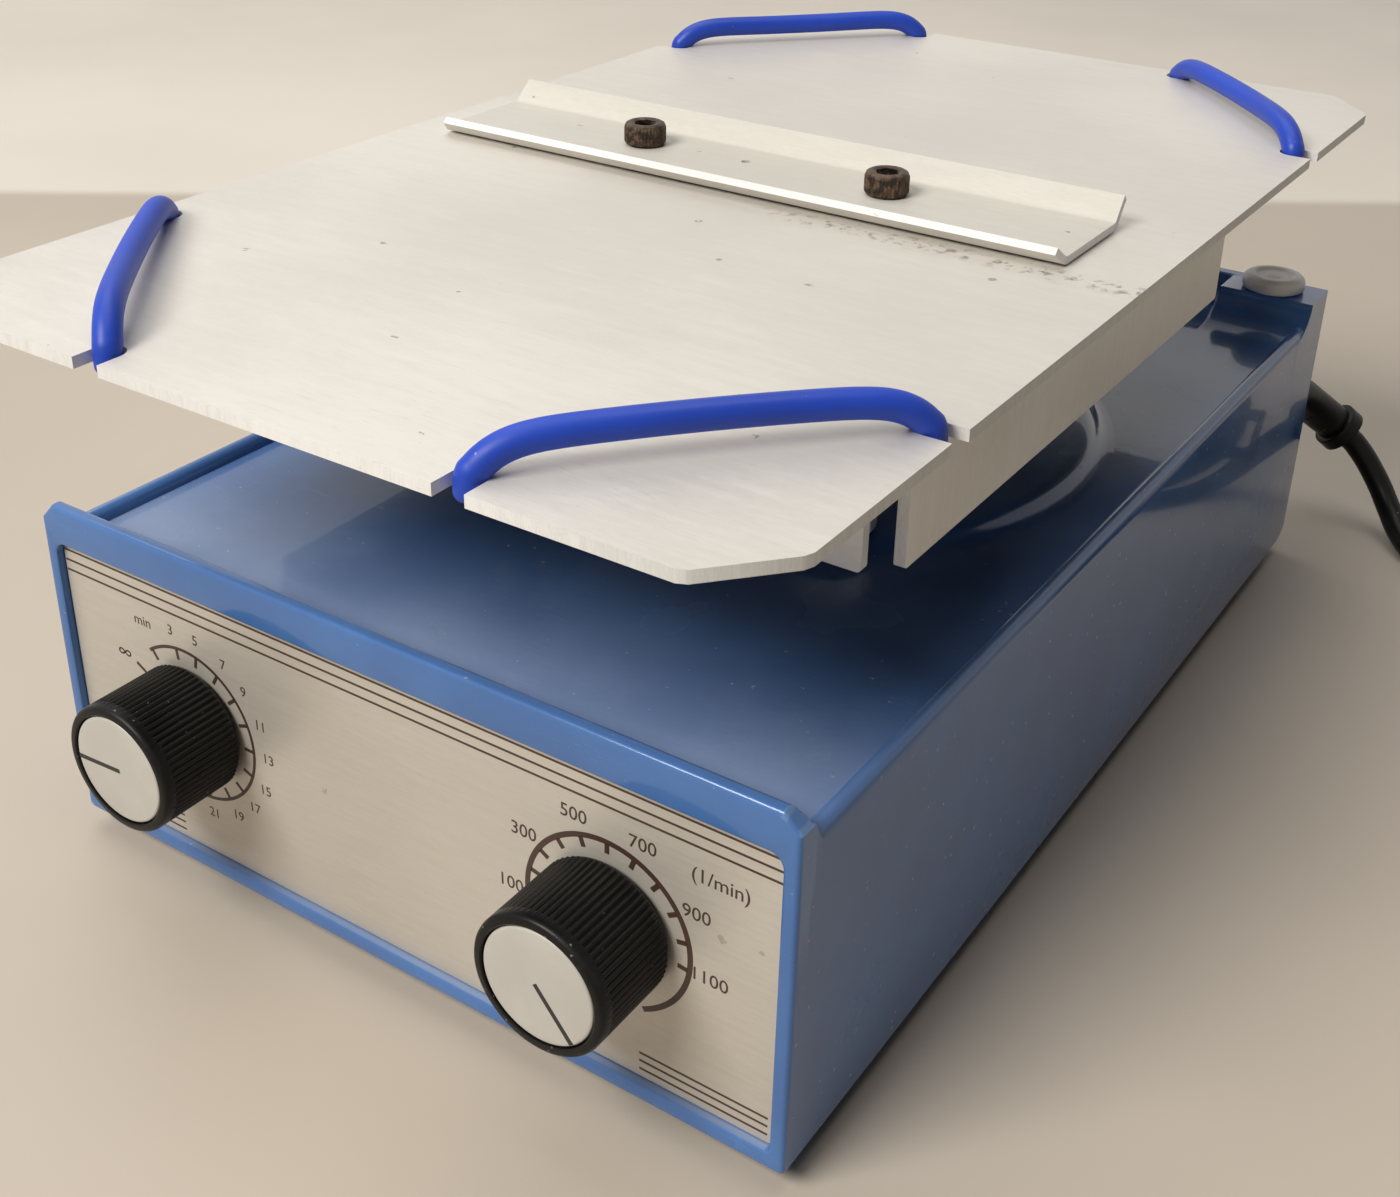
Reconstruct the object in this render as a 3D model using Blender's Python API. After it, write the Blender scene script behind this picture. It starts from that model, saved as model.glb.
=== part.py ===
# Orbital shaker for microplates: a low die-cast box carries a flat table that travels on a small circle.
# Sizes are in millimetres. X runs along the control panel, Y rearwards, Z up from the standing surface.
# The origin is under the middle of the table at rest.
import math

import bmesh
import bpy
from mathutils import Matrix, Vector

MM = 0.001
GAP = 0.3                   # clearance between touching pieces

# Housing
BODY_W = 160.0
BODY_D = 250.0
BODY_H = 68.0
FRONT_Y = -118.5            # front face of the housing
FOOT_H = 4.0
FOOT_R = 7.3
FOOT_INSET_X = 13.0
FOOT_INSET_Y = 12.6
SIDE_WALL = 4.0
FRONT_WALL = 5.0
REAR_WALL = 4.5
DECK_DROP = 8.0             # deck below the front lip
DECK_T = 4.0
LIP_T = 2.2
LIP_RUN = 4.8               # sloped back of the front lip
LIP_CHAMFER = 3.1
BEAD_W = 3.4
BEAD_H = 2.5
BOSS_W = 23.0               # raised rear corners
BOSS_D = 13.0
COVE_R = 12.0               # hollow curve that rises to a rear corner
REAR_RIM = 4.0
REAR_FILLET = 5.0
TURRET_R = 63.0
TURRET_RUN = 4.5
TURRET_H = 2.5
TURRET_BACK = 130.0         # turret centre behind the front face

# Control panel and knobs
PANEL_W = 154.4
PANEL_LOW = 3.5             # panel edge above the housing's lower edge
PANEL_HIGH = 60.3
PANEL_R = 2.0
PANEL_T = 0.8
PANEL_SET = 1.5             # panel face behind the front edge
KNOB_IN = 34.0              # knob axis inside the housing side
KNOB_UP = 32.7              # knob axis above the housing's lower edge
KNOB_R = 12.3
KNOB_L = 18.0
KNOB_RIBS = 36
KNOB_RIB_DEPTH = 0.45
SPINDLE_R = 3.0
BUSH_R = 4.6
POT_R = 12.0
POT_L = 16.0

# Circuit board on posts of the base plate
BOARD_W = 92.0
BOARD_D = 42.0
BOARD_T = 1.6
BOARD_BACK = 18.0           # board behind the front face
BOARD_EDGE = 6.0            # post inside the board's edge
POST_H = 6.0

# Drive
ORBIT_R = 1.5               # the table's centre runs on a circle of this radius
SHAFT_R = 4.0
BEARING_R = 11.0
BEARING_W = 7.0
RACE_T = 2.1
MOTOR_R = 29.0
MOTOR_L = 36.0
MOTOR_DROP = 10.0           # motor top below the ceiling
MOTOR_PLATE = 76.0
MOTOR_PLATE_T = 3.0
HUB_R = 12.0
HUB_H = 10.0
HUB_CLEAR = 3.5             # eccentric hub above the turret
PIN_L = 19.0
WEIGHT_R = 33.0
WEIGHT_H = 8.0
CRANK_SPREAD = 36.0         # guide cranks left, right, before and behind the shaft
CRANK_R = 9.0
CRANK_H = 5.0
CRANK_PIN_R = 3.0
BUSH_OUT = 7.0
CRANK_CLEAR = 1.5           # crank disc above the turret
CRANK_PIN_DROP = 8.7        # crank pin end below the pan

# Table
TABLE_W = 165.0
TABLE_L = 274.0
TABLE_RISE = 45.0           # table above the front lip
TABLE_T = 2.0
CORNER_X = 10.7
CORNER_Y = 12.3
SLOT_W = 5.6
SLOT_END_X = 35.4           # slot in the short edges, from the middle
SLOT_SIDE_Y = 83.8          # slot in the long edges, from the middle
SLOT_INSET = 4.4            # strap centre inside the edge
SEAT_W = 110.0              # flat seat for a microplate on either side of the bar
SEAT_L = 70.0
SEAT_OFF = 22.0             # seat from the bar's middle
PAN_W = 140.0
PAN_L = 154.0
PAN_SIDE_L = 144.0
PAN_FRONT_W = 130.0
PAN_DROP = 31.0             # flange edge below the table
PAN_T = 2.0
PAN_BEND = 3.0
PAN_TIP = 0.8               # rounded free corners of the flanges
FLANGE_R = 38.0
FLANGE_T = 5.0
CUP_R = 17.0
CUP_CLEAR = 8.0             # bearing cup above the eccentric hub
STRAP_R = 2.3
STRAP_RISE = 6.8            # strap centre above the table
STRAP_BEND = 4.8
STRAP_TAIL = 1.5            # strap end below the table
BAR_X = -3.0
BAR_Y = 1.5
BAR_L = 140.0
BAR_FORE = 12.8             # front fold from the bar's middle
BAR_AFT = 10.4              # rear fold from the bar's middle
BAR_LIP = 2.7               # rise of the front edge
BAR_WING = 4.9              # rise of the rear edge
BAR_T = 1.5
BAR_CLIP = 1.2              # front corners cut short
SCREW_PITCH = 56.0
SCREW_HEAD_R = 4.3
SCREW_HEAD_H = 4.6
SCREW_R = 2.0
SOCKET_R = 2.0
SOCKET_DEEP = 2.0

# Mains lead, laid on the standing surface and coiled beside the housing
CORD_R = 3.0
GLAND_IN = 7.0              # gland hole inside the right side
GLAND_UP = 38.0             # gland hole above the housing's lower edge
COIL_OUT = 74.0             # coil centre beyond the right side
COIL_BACK = 50.0            # coil centre behind the rear face
COIL_R = 46.0
COIL_PITCH = 6.6
COIL_TURNS_IN = 3.0
COIL_TURNS_OUT = 2.5
COIL_LOW = 3.9              # centre of the lower layer
COIL_TURNS_STEPS = 24
PLUG_R = 18.5
PLUG_L = 34.0
PLUG_NECK_L = 16.0
PLUG_PIN_R = 2.4
PLUG_PIN_L = 19.0
PLUG_PIN_PITCH = 19.0
PLUG_OUT = 63.0             # plug beside the coil centre
PLUG_FORE = 12.0            # end of the plug neck before the coil centre

REAR_Y = FRONT_Y + BODY_D
BODY_LOW = FOOT_H
BODY_TOP = FOOT_H + BODY_H
DECK = BODY_TOP - DECK_DROP
HALF_W = BODY_W / 2
CEILING = DECK - DECK_T
TURRET_Y = FRONT_Y + TURRET_BACK
TURRET_TOP = DECK + TURRET_H
KNOB_X = HALF_W - KNOB_IN
KNOB_Z = BODY_LOW + KNOB_UP
PANEL_Y = FRONT_Y + PANEL_SET
HUB_LOW = TURRET_TOP + HUB_CLEAR
CUP_LOW = HUB_LOW + HUB_H + CUP_CLEAR
TABLE_TOP = BODY_TOP + TABLE_RISE
PAN_LOW = TABLE_TOP - PAN_DROP
TABLE_LOW = TABLE_TOP - TABLE_T
WEB_TOP = TABLE_LOW - GAP
WEB_LOW = WEB_TOP - PAN_T
GLAND_X = HALF_W - GLAND_IN
COIL_X = HALF_W + COIL_OUT
COIL_Y = REAR_Y + COIL_BACK
BASE_LOW = BODY_LOW + 0.6
BASE_T = 1.5
ROUND = 24


def clearScene():
    for old in list(bpy.data.objects):
        bpy.data.objects.remove(old, do_unlink=True)


def material(name, color, rough, metal=0.0):
    mat = bpy.data.materials.new(name)
    mat.use_nodes = True
    shader = mat.node_tree.nodes["Principled BSDF"]
    shader.inputs["Base Color"].default_value = (*color, 1.0)
    shader.inputs["Roughness"].default_value = rough
    shader.inputs["Metallic"].default_value = metal
    mat.diffuse_color = (*color, 1.0)
    return mat


def addObject(name, data, mat, place=(0, 0, 0), parent=None):
    if mat:
        data.materials.append(mat)
    made = bpy.data.objects.new(name, data)
    made.location = Vector(place) * MM
    made.parent = parent
    bpy.context.collection.objects.link(made)
    return made


def fromBmesh(name, bm, mat, place=(0, 0, 0), parent=None):
    bmesh.ops.recalc_face_normals(bm, faces=bm.faces)
    bmesh.ops.scale(bm, vec=(MM, MM, MM), verts=bm.verts)
    mesh = bpy.data.meshes.new(name)
    bm.to_mesh(mesh)
    bm.free()
    return addObject(name, mesh, mat, place, parent)


def bridgeRings(bm, rings, closed=False):
    # Joins equal rings of points into a skin, with caps at both ends or a last band back to the first ring.
    loops = [[bm.verts.new(point) for point in ring] for ring in rings]
    pairs = list(zip(loops, loops[1:]))
    if closed:
        pairs.append((loops[-1], loops[0]))
    else:
        bm.faces.new(loops[0])
        bm.faces.new(loops[-1])
    count = len(loops[0])
    for low, high in pairs:
        for i in range(count):
            j = (i + 1) % count
            bm.faces.new((low[i], low[j], high[j], high[i]))


def circle(radius, z, centre=(0.0, 0.0), count=ROUND):
    turn = math.tau / count
    return [(centre[0] + radius * math.cos(i * turn), centre[1] + radius * math.sin(i * turn), z)
            for i in range(count)]


def lathe(name, profile, mat, place=(0, 0, 0), parent=None, count=ROUND, closed=False):
    bm = bmesh.new()
    bridgeRings(bm, [circle(r, z, count=count) for r, z in profile], closed)
    return fromBmesh(name, bm, mat, place, parent)


def addBox(bm, low, high):
    size = Vector(high) - Vector(low)
    middle = (Vector(high) + Vector(low)) / 2
    matrix = Matrix.Translation(middle) @ Matrix.Diagonal((*size, 1.0))
    bmesh.ops.create_cube(bm, size=1.0, matrix=matrix)


def addRod(bm, radius, low, high, at, axis="Z", count=ROUND):
    # A round bar from low to high along an axis; at holds the two other coordinates in X, Y, Z order.
    def turned(ring):
        if axis == "Z":
            return ring
        return [(x, z, y) for x, y, z in ring]
    rings = [circle(radius, low, at, count), circle(radius, high, at, count)]
    bridgeRings(bm, [turned(ring) for ring in rings])


def box(name, low, high, mat, parent=None):
    bm = bmesh.new()
    addBox(bm, low, high)
    return fromBmesh(name, bm, mat, parent=parent)


def addPrism(bm, outline, low, high, axis="Z"):
    # Extrudes a plane outline; for axis Y the outline is given in X and Z.
    def ring(level):
        if axis == "Z":
            return [(a, b, level) for a, b in outline]
        if axis == "Y":
            return [(a, level, b) for a, b in outline]
        return [(level, a, b) for a, b in outline]
    bridgeRings(bm, [ring(low), ring(high)])


def arc(centre, radius, start, end, steps):
    points = []
    for i in range(steps + 1):
        angle = math.radians(start + (end - start) * i / steps)
        points.append((centre[0] + radius * math.cos(angle), centre[1] + radius * math.sin(angle)))
    return points


def roundedRect(half, low, high, radius):
    points = arc((half - radius, low + radius), radius, -90, 0, 5)
    points += arc((half - radius, high - radius), radius, 0, 90, 5)
    points += arc((-half + radius, high - radius), radius, 90, 180, 5)
    points += arc((-half + radius, low + radius), radius, 180, 270, 5)
    return points


def tool(name, bm):
    made = fromBmesh(name, bm, None)
    made.hide_render = True
    made.display_type = "WIRE"
    return made


def boolean(target, other, operation):
    step = target.modifiers.new(operation.title(), "BOOLEAN")
    step.operation = operation
    step.solver = "EXACT"
    step.object = other


def tube(name, points, radius, mat, resolution, parent=None):
    curve = bpy.data.curves.new(name, "CURVE")
    curve.dimensions = "3D"
    curve.bevel_depth = radius * MM
    curve.bevel_resolution = resolution
    curve.use_fill_caps = True
    spline = curve.splines.new("POLY")
    spline.points.add(len(points) - 1)
    for slot, point in zip(spline.points, points):
        slot.co = (*(Vector(point) * MM), 1.0)
    return addObject(name, curve, mat, parent=parent)


def smoothRoute(knots, step):
    # Straight first and last stretches; between them, even steps along a smooth curve through the knots.
    fine = []
    for a, b, c, d in zip(knots, knots[1:], knots[2:], knots[3:]):
        for i in range(24):
            t = i / 24
            fine.append(0.5 * (2 * b + (c - a) * t + (2 * a - 5 * b + 4 * c - d) * t * t
                               + (3 * b - a - 3 * c + d) * t ** 3))
    fine.append(knots[-2])
    total = sum((q - p).length for p, q in zip(fine, fine[1:]))
    count = max(2, round(total / step))
    points = [knots[0], fine[0]]
    walked = 0.0
    for p, q in zip(fine, fine[1:]):
        walked += (q - p).length
        if walked >= total * (len(points) - 1) / count and len(points) <= count:
            points.append(q)
    return points + [fine[-1], knots[-1]]


def empty(name, place):
    made = bpy.data.objects.new(name, None)
    made.location = Vector(place) * MM
    bpy.context.collection.objects.link(made)
    return made


clearScene()
blue = material("blue_enamel", (0.085, 0.215, 0.46), 0.25)
sheet = material("satin_aluminium", (0.72, 0.70, 0.66), 0.42, 0.9)
steel = material("steel", (0.45, 0.45, 0.45), 0.35, 1.0)
darkSteel = material("dark_steel", (0.06, 0.05, 0.045), 0.5, 0.8)
black = material("black_plastic", (0.012, 0.012, 0.013), 0.4)
rubber = material("black_rubber", (0.015, 0.015, 0.015), 0.8)
silicone = material("blue_silicone", (0.02, 0.04, 0.45), 0.45)
milky = material("milky_plastic", (0.72, 0.70, 0.66), 0.4)
white = material("white_disc", (0.78, 0.77, 0.74), 0.35)
brass = material("brass", (0.6, 0.42, 0.15), 0.35, 1.0)
board = material("board", (0.03, 0.12, 0.05), 0.6)

driveAxis = empty("drive_axis", (0, ORBIT_R, 0))
tableAxis = empty("table_axis", (0, 0, 0))


# Housing: one casting with a sunk deck, a thin front lip, side beads, coved rear corners and a round turret
def deckHeight(x, y):
    # Height of the casting's upper skin; y is counted from the front face.
    side = HALF_W - abs(x)
    level = DECK
    if side < BEAD_W:
        level += BEAD_H * math.sqrt(max(0.0, 1 - ((side - BEAD_W / 2) / (BEAD_W / 2)) ** 2))
    if y <= LIP_T + LIP_RUN:
        t = max(0.0, (y - LIP_T) / LIP_RUN)
        level = max(level, DECK + DECK_DROP * (1 - math.sin(t * math.pi / 2)))
    coveStart = BODY_D - BOSS_D - COVE_R
    if side <= BOSS_W and y > coveStart:
        t = min(1.0, (y - coveStart) / COVE_R)
        level = max(level, DECK + DECK_DROP * (1 - math.sqrt(1 - t * t)))
    if y >= BODY_D - REAR_RIM:
        level = BODY_TOP
    if y <= LIP_T + LIP_RUN:
        level = min(level, BODY_TOP - max(0.0, LIP_CHAMFER - side))
    return level


def lowerEdge(y):
    t = max(0.0, y - BODY_D + REAR_FILLET)
    return BODY_LOW + REAR_FILLET - math.sqrt(max(0.0, REAR_FILLET ** 2 - t * t))


def makeHousing():
    step = 0.4
    bead = [HALF_W - BEAD_W * (0.5 - 0.5 * math.cos(math.pi * i / 6)) for i in range(7)]
    half = bead + [HALF_W - LIP_CHAMFER, HALF_W - BOSS_W, HALF_W - BOSS_W - step]
    half = sorted(half)
    columns = [-x for x in reversed(half)] + half
    coveStart = BODY_D - BOSS_D - COVE_R
    rows = [0.0] + [LIP_T + LIP_RUN * i / 5 for i in range(6)]
    rows += [coveStart + COVE_R * math.sin(math.pi / 2 * i / 6) for i in range(7)]
    rows += [BODY_D - REAR_RIM - step, BODY_D - REAR_RIM]
    rows += [BODY_D - REAR_FILLET * (1 - math.sin(math.pi / 2 * i / 4)) for i in range(5)]
    rows = sorted(rows)
    bm = bmesh.new()
    top = [[bm.verts.new((x, FRONT_Y + y, deckHeight(x, y))) for x in columns] for y in rows]
    low = [[bm.verts.new((x, FRONT_Y + y, lowerEdge(y))) for x in (-HALF_W, HALF_W)] for y in rows]
    for i in range(len(rows) - 1):
        for j in range(len(columns) - 1):
            bm.faces.new((top[i][j], top[i][j + 1], top[i + 1][j + 1], top[i + 1][j]))
        bm.faces.new((low[i][0], low[i + 1][0], low[i + 1][1], low[i][1]))
        bm.faces.new((low[i][0], top[i][0], top[i + 1][0], low[i + 1][0]))
        bm.faces.new((low[i][1], low[i + 1][1], top[i + 1][-1], top[i][-1]))
    bm.faces.new([low[0][0], low[0][1]] + list(reversed(top[0])))
    bm.faces.new([low[-1][1], low[-1][0]] + top[-1])
    return fromBmesh("housing", bm, blue)


SCREW_SPOTS = [(side * (HALF_W - 14), y) for side in (-1, 1) for y in (FRONT_Y + 32, REAR_Y - 36)]
FOOT_SPOTS = [(side * (HALF_W - FOOT_INSET_X), y) for side in (-1, 1)
              for y in (FRONT_Y + FOOT_INSET_Y, REAR_Y - FOOT_INSET_Y)]
CRANK_SPOTS = [(x, ORBIT_R + y) for x in (-CRANK_SPREAD, CRANK_SPREAD) for y in (-CRANK_SPREAD, CRANK_SPREAD)]
PLUG_SPOT = (HALF_W - 11.5, REAR_Y - 7.0)
BEARING_LOW = CEILING - 3.7
SEAT_R = 17.0
PILLAR_R = 4.5
ROD_HOLE_R = 4.5
ROD_HOLE_LOW = BODY_TOP - 20.0

housing = makeHousing()
cavity = bmesh.new()
addBox(cavity, (-HALF_W + SIDE_WALL, FRONT_Y + FRONT_WALL, -1.0),
       (HALF_W - SIDE_WALL, REAR_Y - REAR_WALL, CEILING))
boolean(housing, tool("cut_cavity", cavity), "DIFFERENCE")

inside = bmesh.new()
bridgeRings(inside, [circle(TURRET_R + TURRET_RUN, DECK - 1, (0, TURRET_Y), 56),
                     circle(TURRET_R + TURRET_RUN, DECK, (0, TURRET_Y), 56),
                     circle(TURRET_R + TURRET_RUN * 0.45, DECK + TURRET_H * 0.3, (0, TURRET_Y), 56),
                     circle(TURRET_R, TURRET_TOP, (0, TURRET_Y), 56)])
addRod(inside, SEAT_R, BEARING_LOW - 2.3, CEILING + 1, (0, ORBIT_R))
for spot in SCREW_SPOTS:
    addRod(inside, PILLAR_R, BASE_LOW + BASE_T + GAP, CEILING + 1, spot, count=16)
addBox(inside, (PLUG_SPOT[0] - 9, PLUG_SPOT[1] - 9, ROD_HOLE_LOW - 4),
       (HALF_W - SIDE_WALL + 1, REAR_Y - REAR_WALL + 1, CEILING + 1))
boolean(housing, tool("add_inside", inside), "UNION")

recess = bmesh.new()
addPrism(recess, roundedRect(PANEL_W / 2, BODY_LOW + PANEL_LOW, BODY_LOW + PANEL_HIGH, PANEL_R),
         FRONT_Y - 1, PANEL_Y + PANEL_T + GAP, "Y")
boolean(housing, tool("cut_recess", recess), "DIFFERENCE")

holes = bmesh.new()
for side in (-1, 1):
    spot = (side * KNOB_X, KNOB_Z)
    addRod(holes, BUSH_R + 0.4, PANEL_Y + PANEL_T - 1, FRONT_Y + FRONT_WALL + 1, spot, "Y", 24)
addRod(holes, CORD_R + 2.7, REAR_Y - REAR_WALL - 1, REAR_Y + 1, (GLAND_X, BODY_LOW + GLAND_UP), "Y", 24)
addRod(holes, ROD_HOLE_R, ROD_HOLE_LOW, BODY_TOP + 1, PLUG_SPOT, count=24)
bridgeRings(holes, [circle(r, z, (0, ORBIT_R)) for r, z in (
    (BEARING_R - 4, BEARING_LOW - 4), (BEARING_R - 4, BEARING_LOW), (BEARING_R + GAP, BEARING_LOW),
    (BEARING_R + GAP, TURRET_TOP + 1))])
for spot in CRANK_SPOTS:
    addRod(holes, SHAFT_R + GAP, CEILING - 1, TURRET_TOP + 1, spot, count=24)
for spot in SCREW_SPOTS:
    addRod(holes, 2.2, BASE_LOW, BASE_LOW + 16, spot, count=16)
boolean(housing, tool("cut_holes", holes), "DIFFERENCE")

# Base plate with posts for the circuit board, feet and screws
boardFront = FRONT_Y + BOARD_BACK
boardRear = boardFront + BOARD_D
BOARD_SPOTS = [(x, y) for x in (-BOARD_W / 2 + BOARD_EDGE, BOARD_W / 2 - BOARD_EDGE)
               for y in (boardFront + BOARD_EDGE, boardRear - BOARD_EDGE)]
basePlate = box("base_plate", (-HALF_W + SIDE_WALL + GAP, FRONT_Y + FRONT_WALL + GAP, BASE_LOW),
                (HALF_W - SIDE_WALL - GAP, REAR_Y - REAR_WALL - GAP, BASE_LOW + BASE_T), sheet)
posts = bmesh.new()
for spot in BOARD_SPOTS:
    addRod(posts, 2.5, BASE_LOW + 0.5, BASE_LOW + BASE_T + POST_H, spot, count=12)
boolean(basePlate, tool("add_posts", posts), "UNION")
baseHoles = bmesh.new()
for spot in SCREW_SPOTS:
    addRod(baseHoles, 2.2, BASE_LOW - 1, BASE_LOW + BASE_T + 1, spot, count=16)
boolean(basePlate, tool("cut_base", baseHoles), "DIFFERENCE")
boardLow = BASE_LOW + BASE_T + POST_H + GAP
box("control_board", (-BOARD_W / 2, boardFront, boardLow),
    (BOARD_W / 2, boardRear, boardLow + BOARD_T), board)

for i, spot in enumerate(FOOT_SPOTS):
    lathe(f"foot_{i + 1}", [(FOOT_R - 0.8, 0), (FOOT_R, 0.9), (FOOT_R, BASE_LOW - GAP)], rubber, (*spot, 0))
for i, spot in enumerate(SCREW_SPOTS):
    lathe(f"base_screw_{i + 1}", [(2.6, -2.2), (3.5, -1.4), (3.5, -GAP), (1.9, -GAP), (1.9, 12)], darkSteel,
          (*spot, BASE_LOW), count=16)
lathe("rod_plug", [(ROD_HOLE_R - GAP, -16), (ROD_HOLE_R - GAP, GAP), (7.1, GAP), (7.3, 2.0), (6.6, 3.4),
                   (4.6, 3.8), (4.2, 3.2)], milky, (*PLUG_SPOT, BODY_TOP), count=28)

# Control panel, knobs, spindles and controls
panel = bmesh.new()
addPrism(panel, roundedRect(PANEL_W / 2 - GAP, BODY_LOW + PANEL_LOW + GAP, BODY_LOW + PANEL_HIGH - GAP,
                            PANEL_R - GAP), PANEL_Y, PANEL_Y + PANEL_T, "Y")
frontPanel = fromBmesh("front_panel", panel, sheet)
panelHoles = bmesh.new()
for side in (-1, 1):
    addRod(panelHoles, BUSH_R + 0.4, PANEL_Y - 1, PANEL_Y + PANEL_T + 1, (side * KNOB_X, KNOB_Z), "Y", 24)
boolean(frontPanel, tool("cut_panel", panelHoles), "DIFFERENCE")


def knobRing(radius, z, depth=0.0):
    ring = circle(1.0, z, count=KNOB_RIBS * 2)
    reach = [radius, radius - depth]
    return [(x * reach[i % 2], y * reach[i % 2], z) for i, (x, y, z) in enumerate(ring)]


def makeKnob(name, side):
    facing = (math.pi / 2, 0, 0)
    place = (side * KNOB_X, PANEL_Y, KNOB_Z)
    bore = SPINDLE_R + GAP
    bm = bmesh.new()
    bridgeRings(bm, [knobRing(bore, 11), knobRing(bore, 0.6), knobRing(KNOB_R - 1.2, 0.6),
                     knobRing(KNOB_R, 1.6, KNOB_RIB_DEPTH),
                     knobRing(KNOB_R - 0.2, KNOB_L - 2.4, KNOB_RIB_DEPTH),
                     knobRing(KNOB_R - 0.3, KNOB_L - 2.1), knobRing(KNOB_R - 0.3, KNOB_L - 0.6),
                     knobRing(KNOB_R - 0.8, KNOB_L), knobRing(KNOB_R - 1.6, KNOB_L),
                     knobRing(KNOB_R - 1.7, KNOB_L - 1.1)])
    parts = [fromBmesh(f"{name}_knob", bm, black, place)]
    discR = KNOB_R - 1.7 - GAP
    parts.append(lathe(f"{name}_disc", [(discR, KNOB_L - 1.1 + GAP), (discR, KNOB_L - 0.4),
                                        (discR - 0.3, KNOB_L - 0.1)], white, place))
    spindleLine = [(SPINDLE_R, -11.5), (SPINDLE_R, 11 - GAP)]
    parts.append(lathe(f"{name}_spindle", spindleLine, steel, place, count=20))
    wall = FRONT_WALL - PANEL_SET + GAP
    controlLine = [(bore, -12), (bore, 0.2), (BUSH_R, 0.2), (BUSH_R, -wall), (POT_R, -wall),
                   (POT_R, -wall - POT_L)]
    parts.append(lathe(f"{name}_control", controlLine, steel, place))
    for part in parts:
        part.rotation_euler = facing


makeKnob("timer", -1)
makeKnob("speed", 1)


# Drive: motor, shaft, bearing, eccentric with its balance weight, and four guide cranks
def bearing(prefix, low, parent):
    for ring, radius in (("outer", BEARING_R), ("inner", SHAFT_R + GAP + RACE_T)):
        inner = radius - RACE_T
        lathe(f"{prefix}_{ring}_race", [(radius, low), (radius, low + BEARING_W), (inner, low + BEARING_W),
                                        (inner, low)], steel, parent=parent, closed=True)


motorTop = CEILING - MOTOR_DROP
motorLow = motorTop - MOTOR_L
lathe("motor", [(SHAFT_R + GAP, motorTop - 17), (SHAFT_R + GAP, motorTop), (MOTOR_R - 2, motorTop),
                (MOTOR_R, motorTop - 2), (MOTOR_R, motorLow + 2), (MOTOR_R - 2, motorLow)], darkSteel,
      (0, ORBIT_R, 0))
plateLow = motorTop + GAP
half = MOTOR_PLATE / 2
motorPlate = box("motor_plate", (-half, ORBIT_R - half, plateLow),
                 (half, ORBIT_R + half, plateLow + MOTOR_PLATE_T), sheet)
plateHole = bmesh.new()
addRod(plateHole, BEARING_R - 4, plateLow - 1, plateLow + MOTOR_PLATE_T + 1, (0, ORBIT_R))
boolean(motorPlate, tool("cut_plate", plateHole), "DIFFERENCE")
for i in range(3):
    angle = math.tau * i / 3 + math.pi / 2
    spot = (MOTOR_R * math.cos(angle), ORBIT_R + MOTOR_R * math.sin(angle), 0)
    postLine = [(3.5, plateLow + MOTOR_PLATE_T + GAP), (3.5, CEILING - GAP)]
    lathe(f"motor_post_{i + 1}", postLine, steel, spot, count=6)
shaftLine = [(SHAFT_R, motorTop - 16.5), (SHAFT_R, HUB_LOW + HUB_H - 2.5)]
lathe("drive_shaft", shaftLine, steel, parent=driveAxis)
bearing("drive", BEARING_LOW + GAP, driveAxis)


def crank(name, rings, mat, place, parent=None, count=24):
    # A turned piece whose upper pin stands off its axis by the orbit radius.
    bm = bmesh.new()
    bridgeRings(bm, [circle(r, z, (0, -ORBIT_R if offset else 0), count) for r, z, offset in rings])
    return fromBmesh(name, bm, mat, place, parent)


hubTop = HUB_LOW + HUB_H
crank("eccentric", [(SHAFT_R + GAP, hubTop - 2, False), (SHAFT_R + GAP, HUB_LOW, False),
                    (HUB_R, HUB_LOW, False), (HUB_R, hubTop, False),
                    (SHAFT_R, hubTop, True), (SHAFT_R, hubTop + PIN_L, True)],
      steel, (0, 0, 0), driveAxis, ROUND)
weight = bmesh.new()
addPrism(weight, arc((0, 0), WEIGHT_R, 0, 180, 20) + arc((0, 0), HUB_R + GAP, 180, 0, 14), HUB_LOW + 0.5,
         HUB_LOW + 0.5 + WEIGHT_H)
fromBmesh("balance_weight", weight, darkSteel, parent=driveAxis)
crankLow = TURRET_TOP + CRANK_CLEAR
pinTop = WEB_LOW - CRANK_PIN_DROP
for i, spot in enumerate(CRANK_SPOTS):
    crank(f"guide_crank_{i + 1}", [(SHAFT_R, CEILING + 0.5, False), (SHAFT_R, crankLow, False),
                                   (CRANK_R, crankLow, False), (CRANK_R, crankLow + CRANK_H, False),
                                   (CRANK_PIN_R, crankLow + CRANK_H, True), (CRANK_PIN_R, pinTop, True)],
          steel, (*spot, 0))
    bore = CRANK_PIN_R + GAP
    bushLine = [(bore, pinTop + 2), (bore, pinTop - 8), (BUSH_OUT, pinTop - 8), (BUSH_OUT, WEB_LOW - GAP)]
    lathe(f"guide_bush_{i + 1}", bushLine, brass, (spot[0], spot[1] - ORBIT_R, 0), tableAxis)
bearing("table", CUP_LOW + 3, tableAxis)

# Table: hub, folded pan, slotted plate, divider bar and corner straps
SCREW_X = (BAR_X - SCREW_PITCH / 2, BAR_X + SCREW_PITCH / 2)
BAR_LOW = TABLE_TOP + GAP
BAR_TOP = BAR_LOW + BAR_T
screwHoles = bmesh.new()
for x in SCREW_X:
    addRod(screwHoles, SCREW_R + GAP, WEB_LOW - 20, BAR_TOP + 20, (x, BAR_Y), count=20)
screwCutter = tool("cut_screws", screwHoles)

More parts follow.
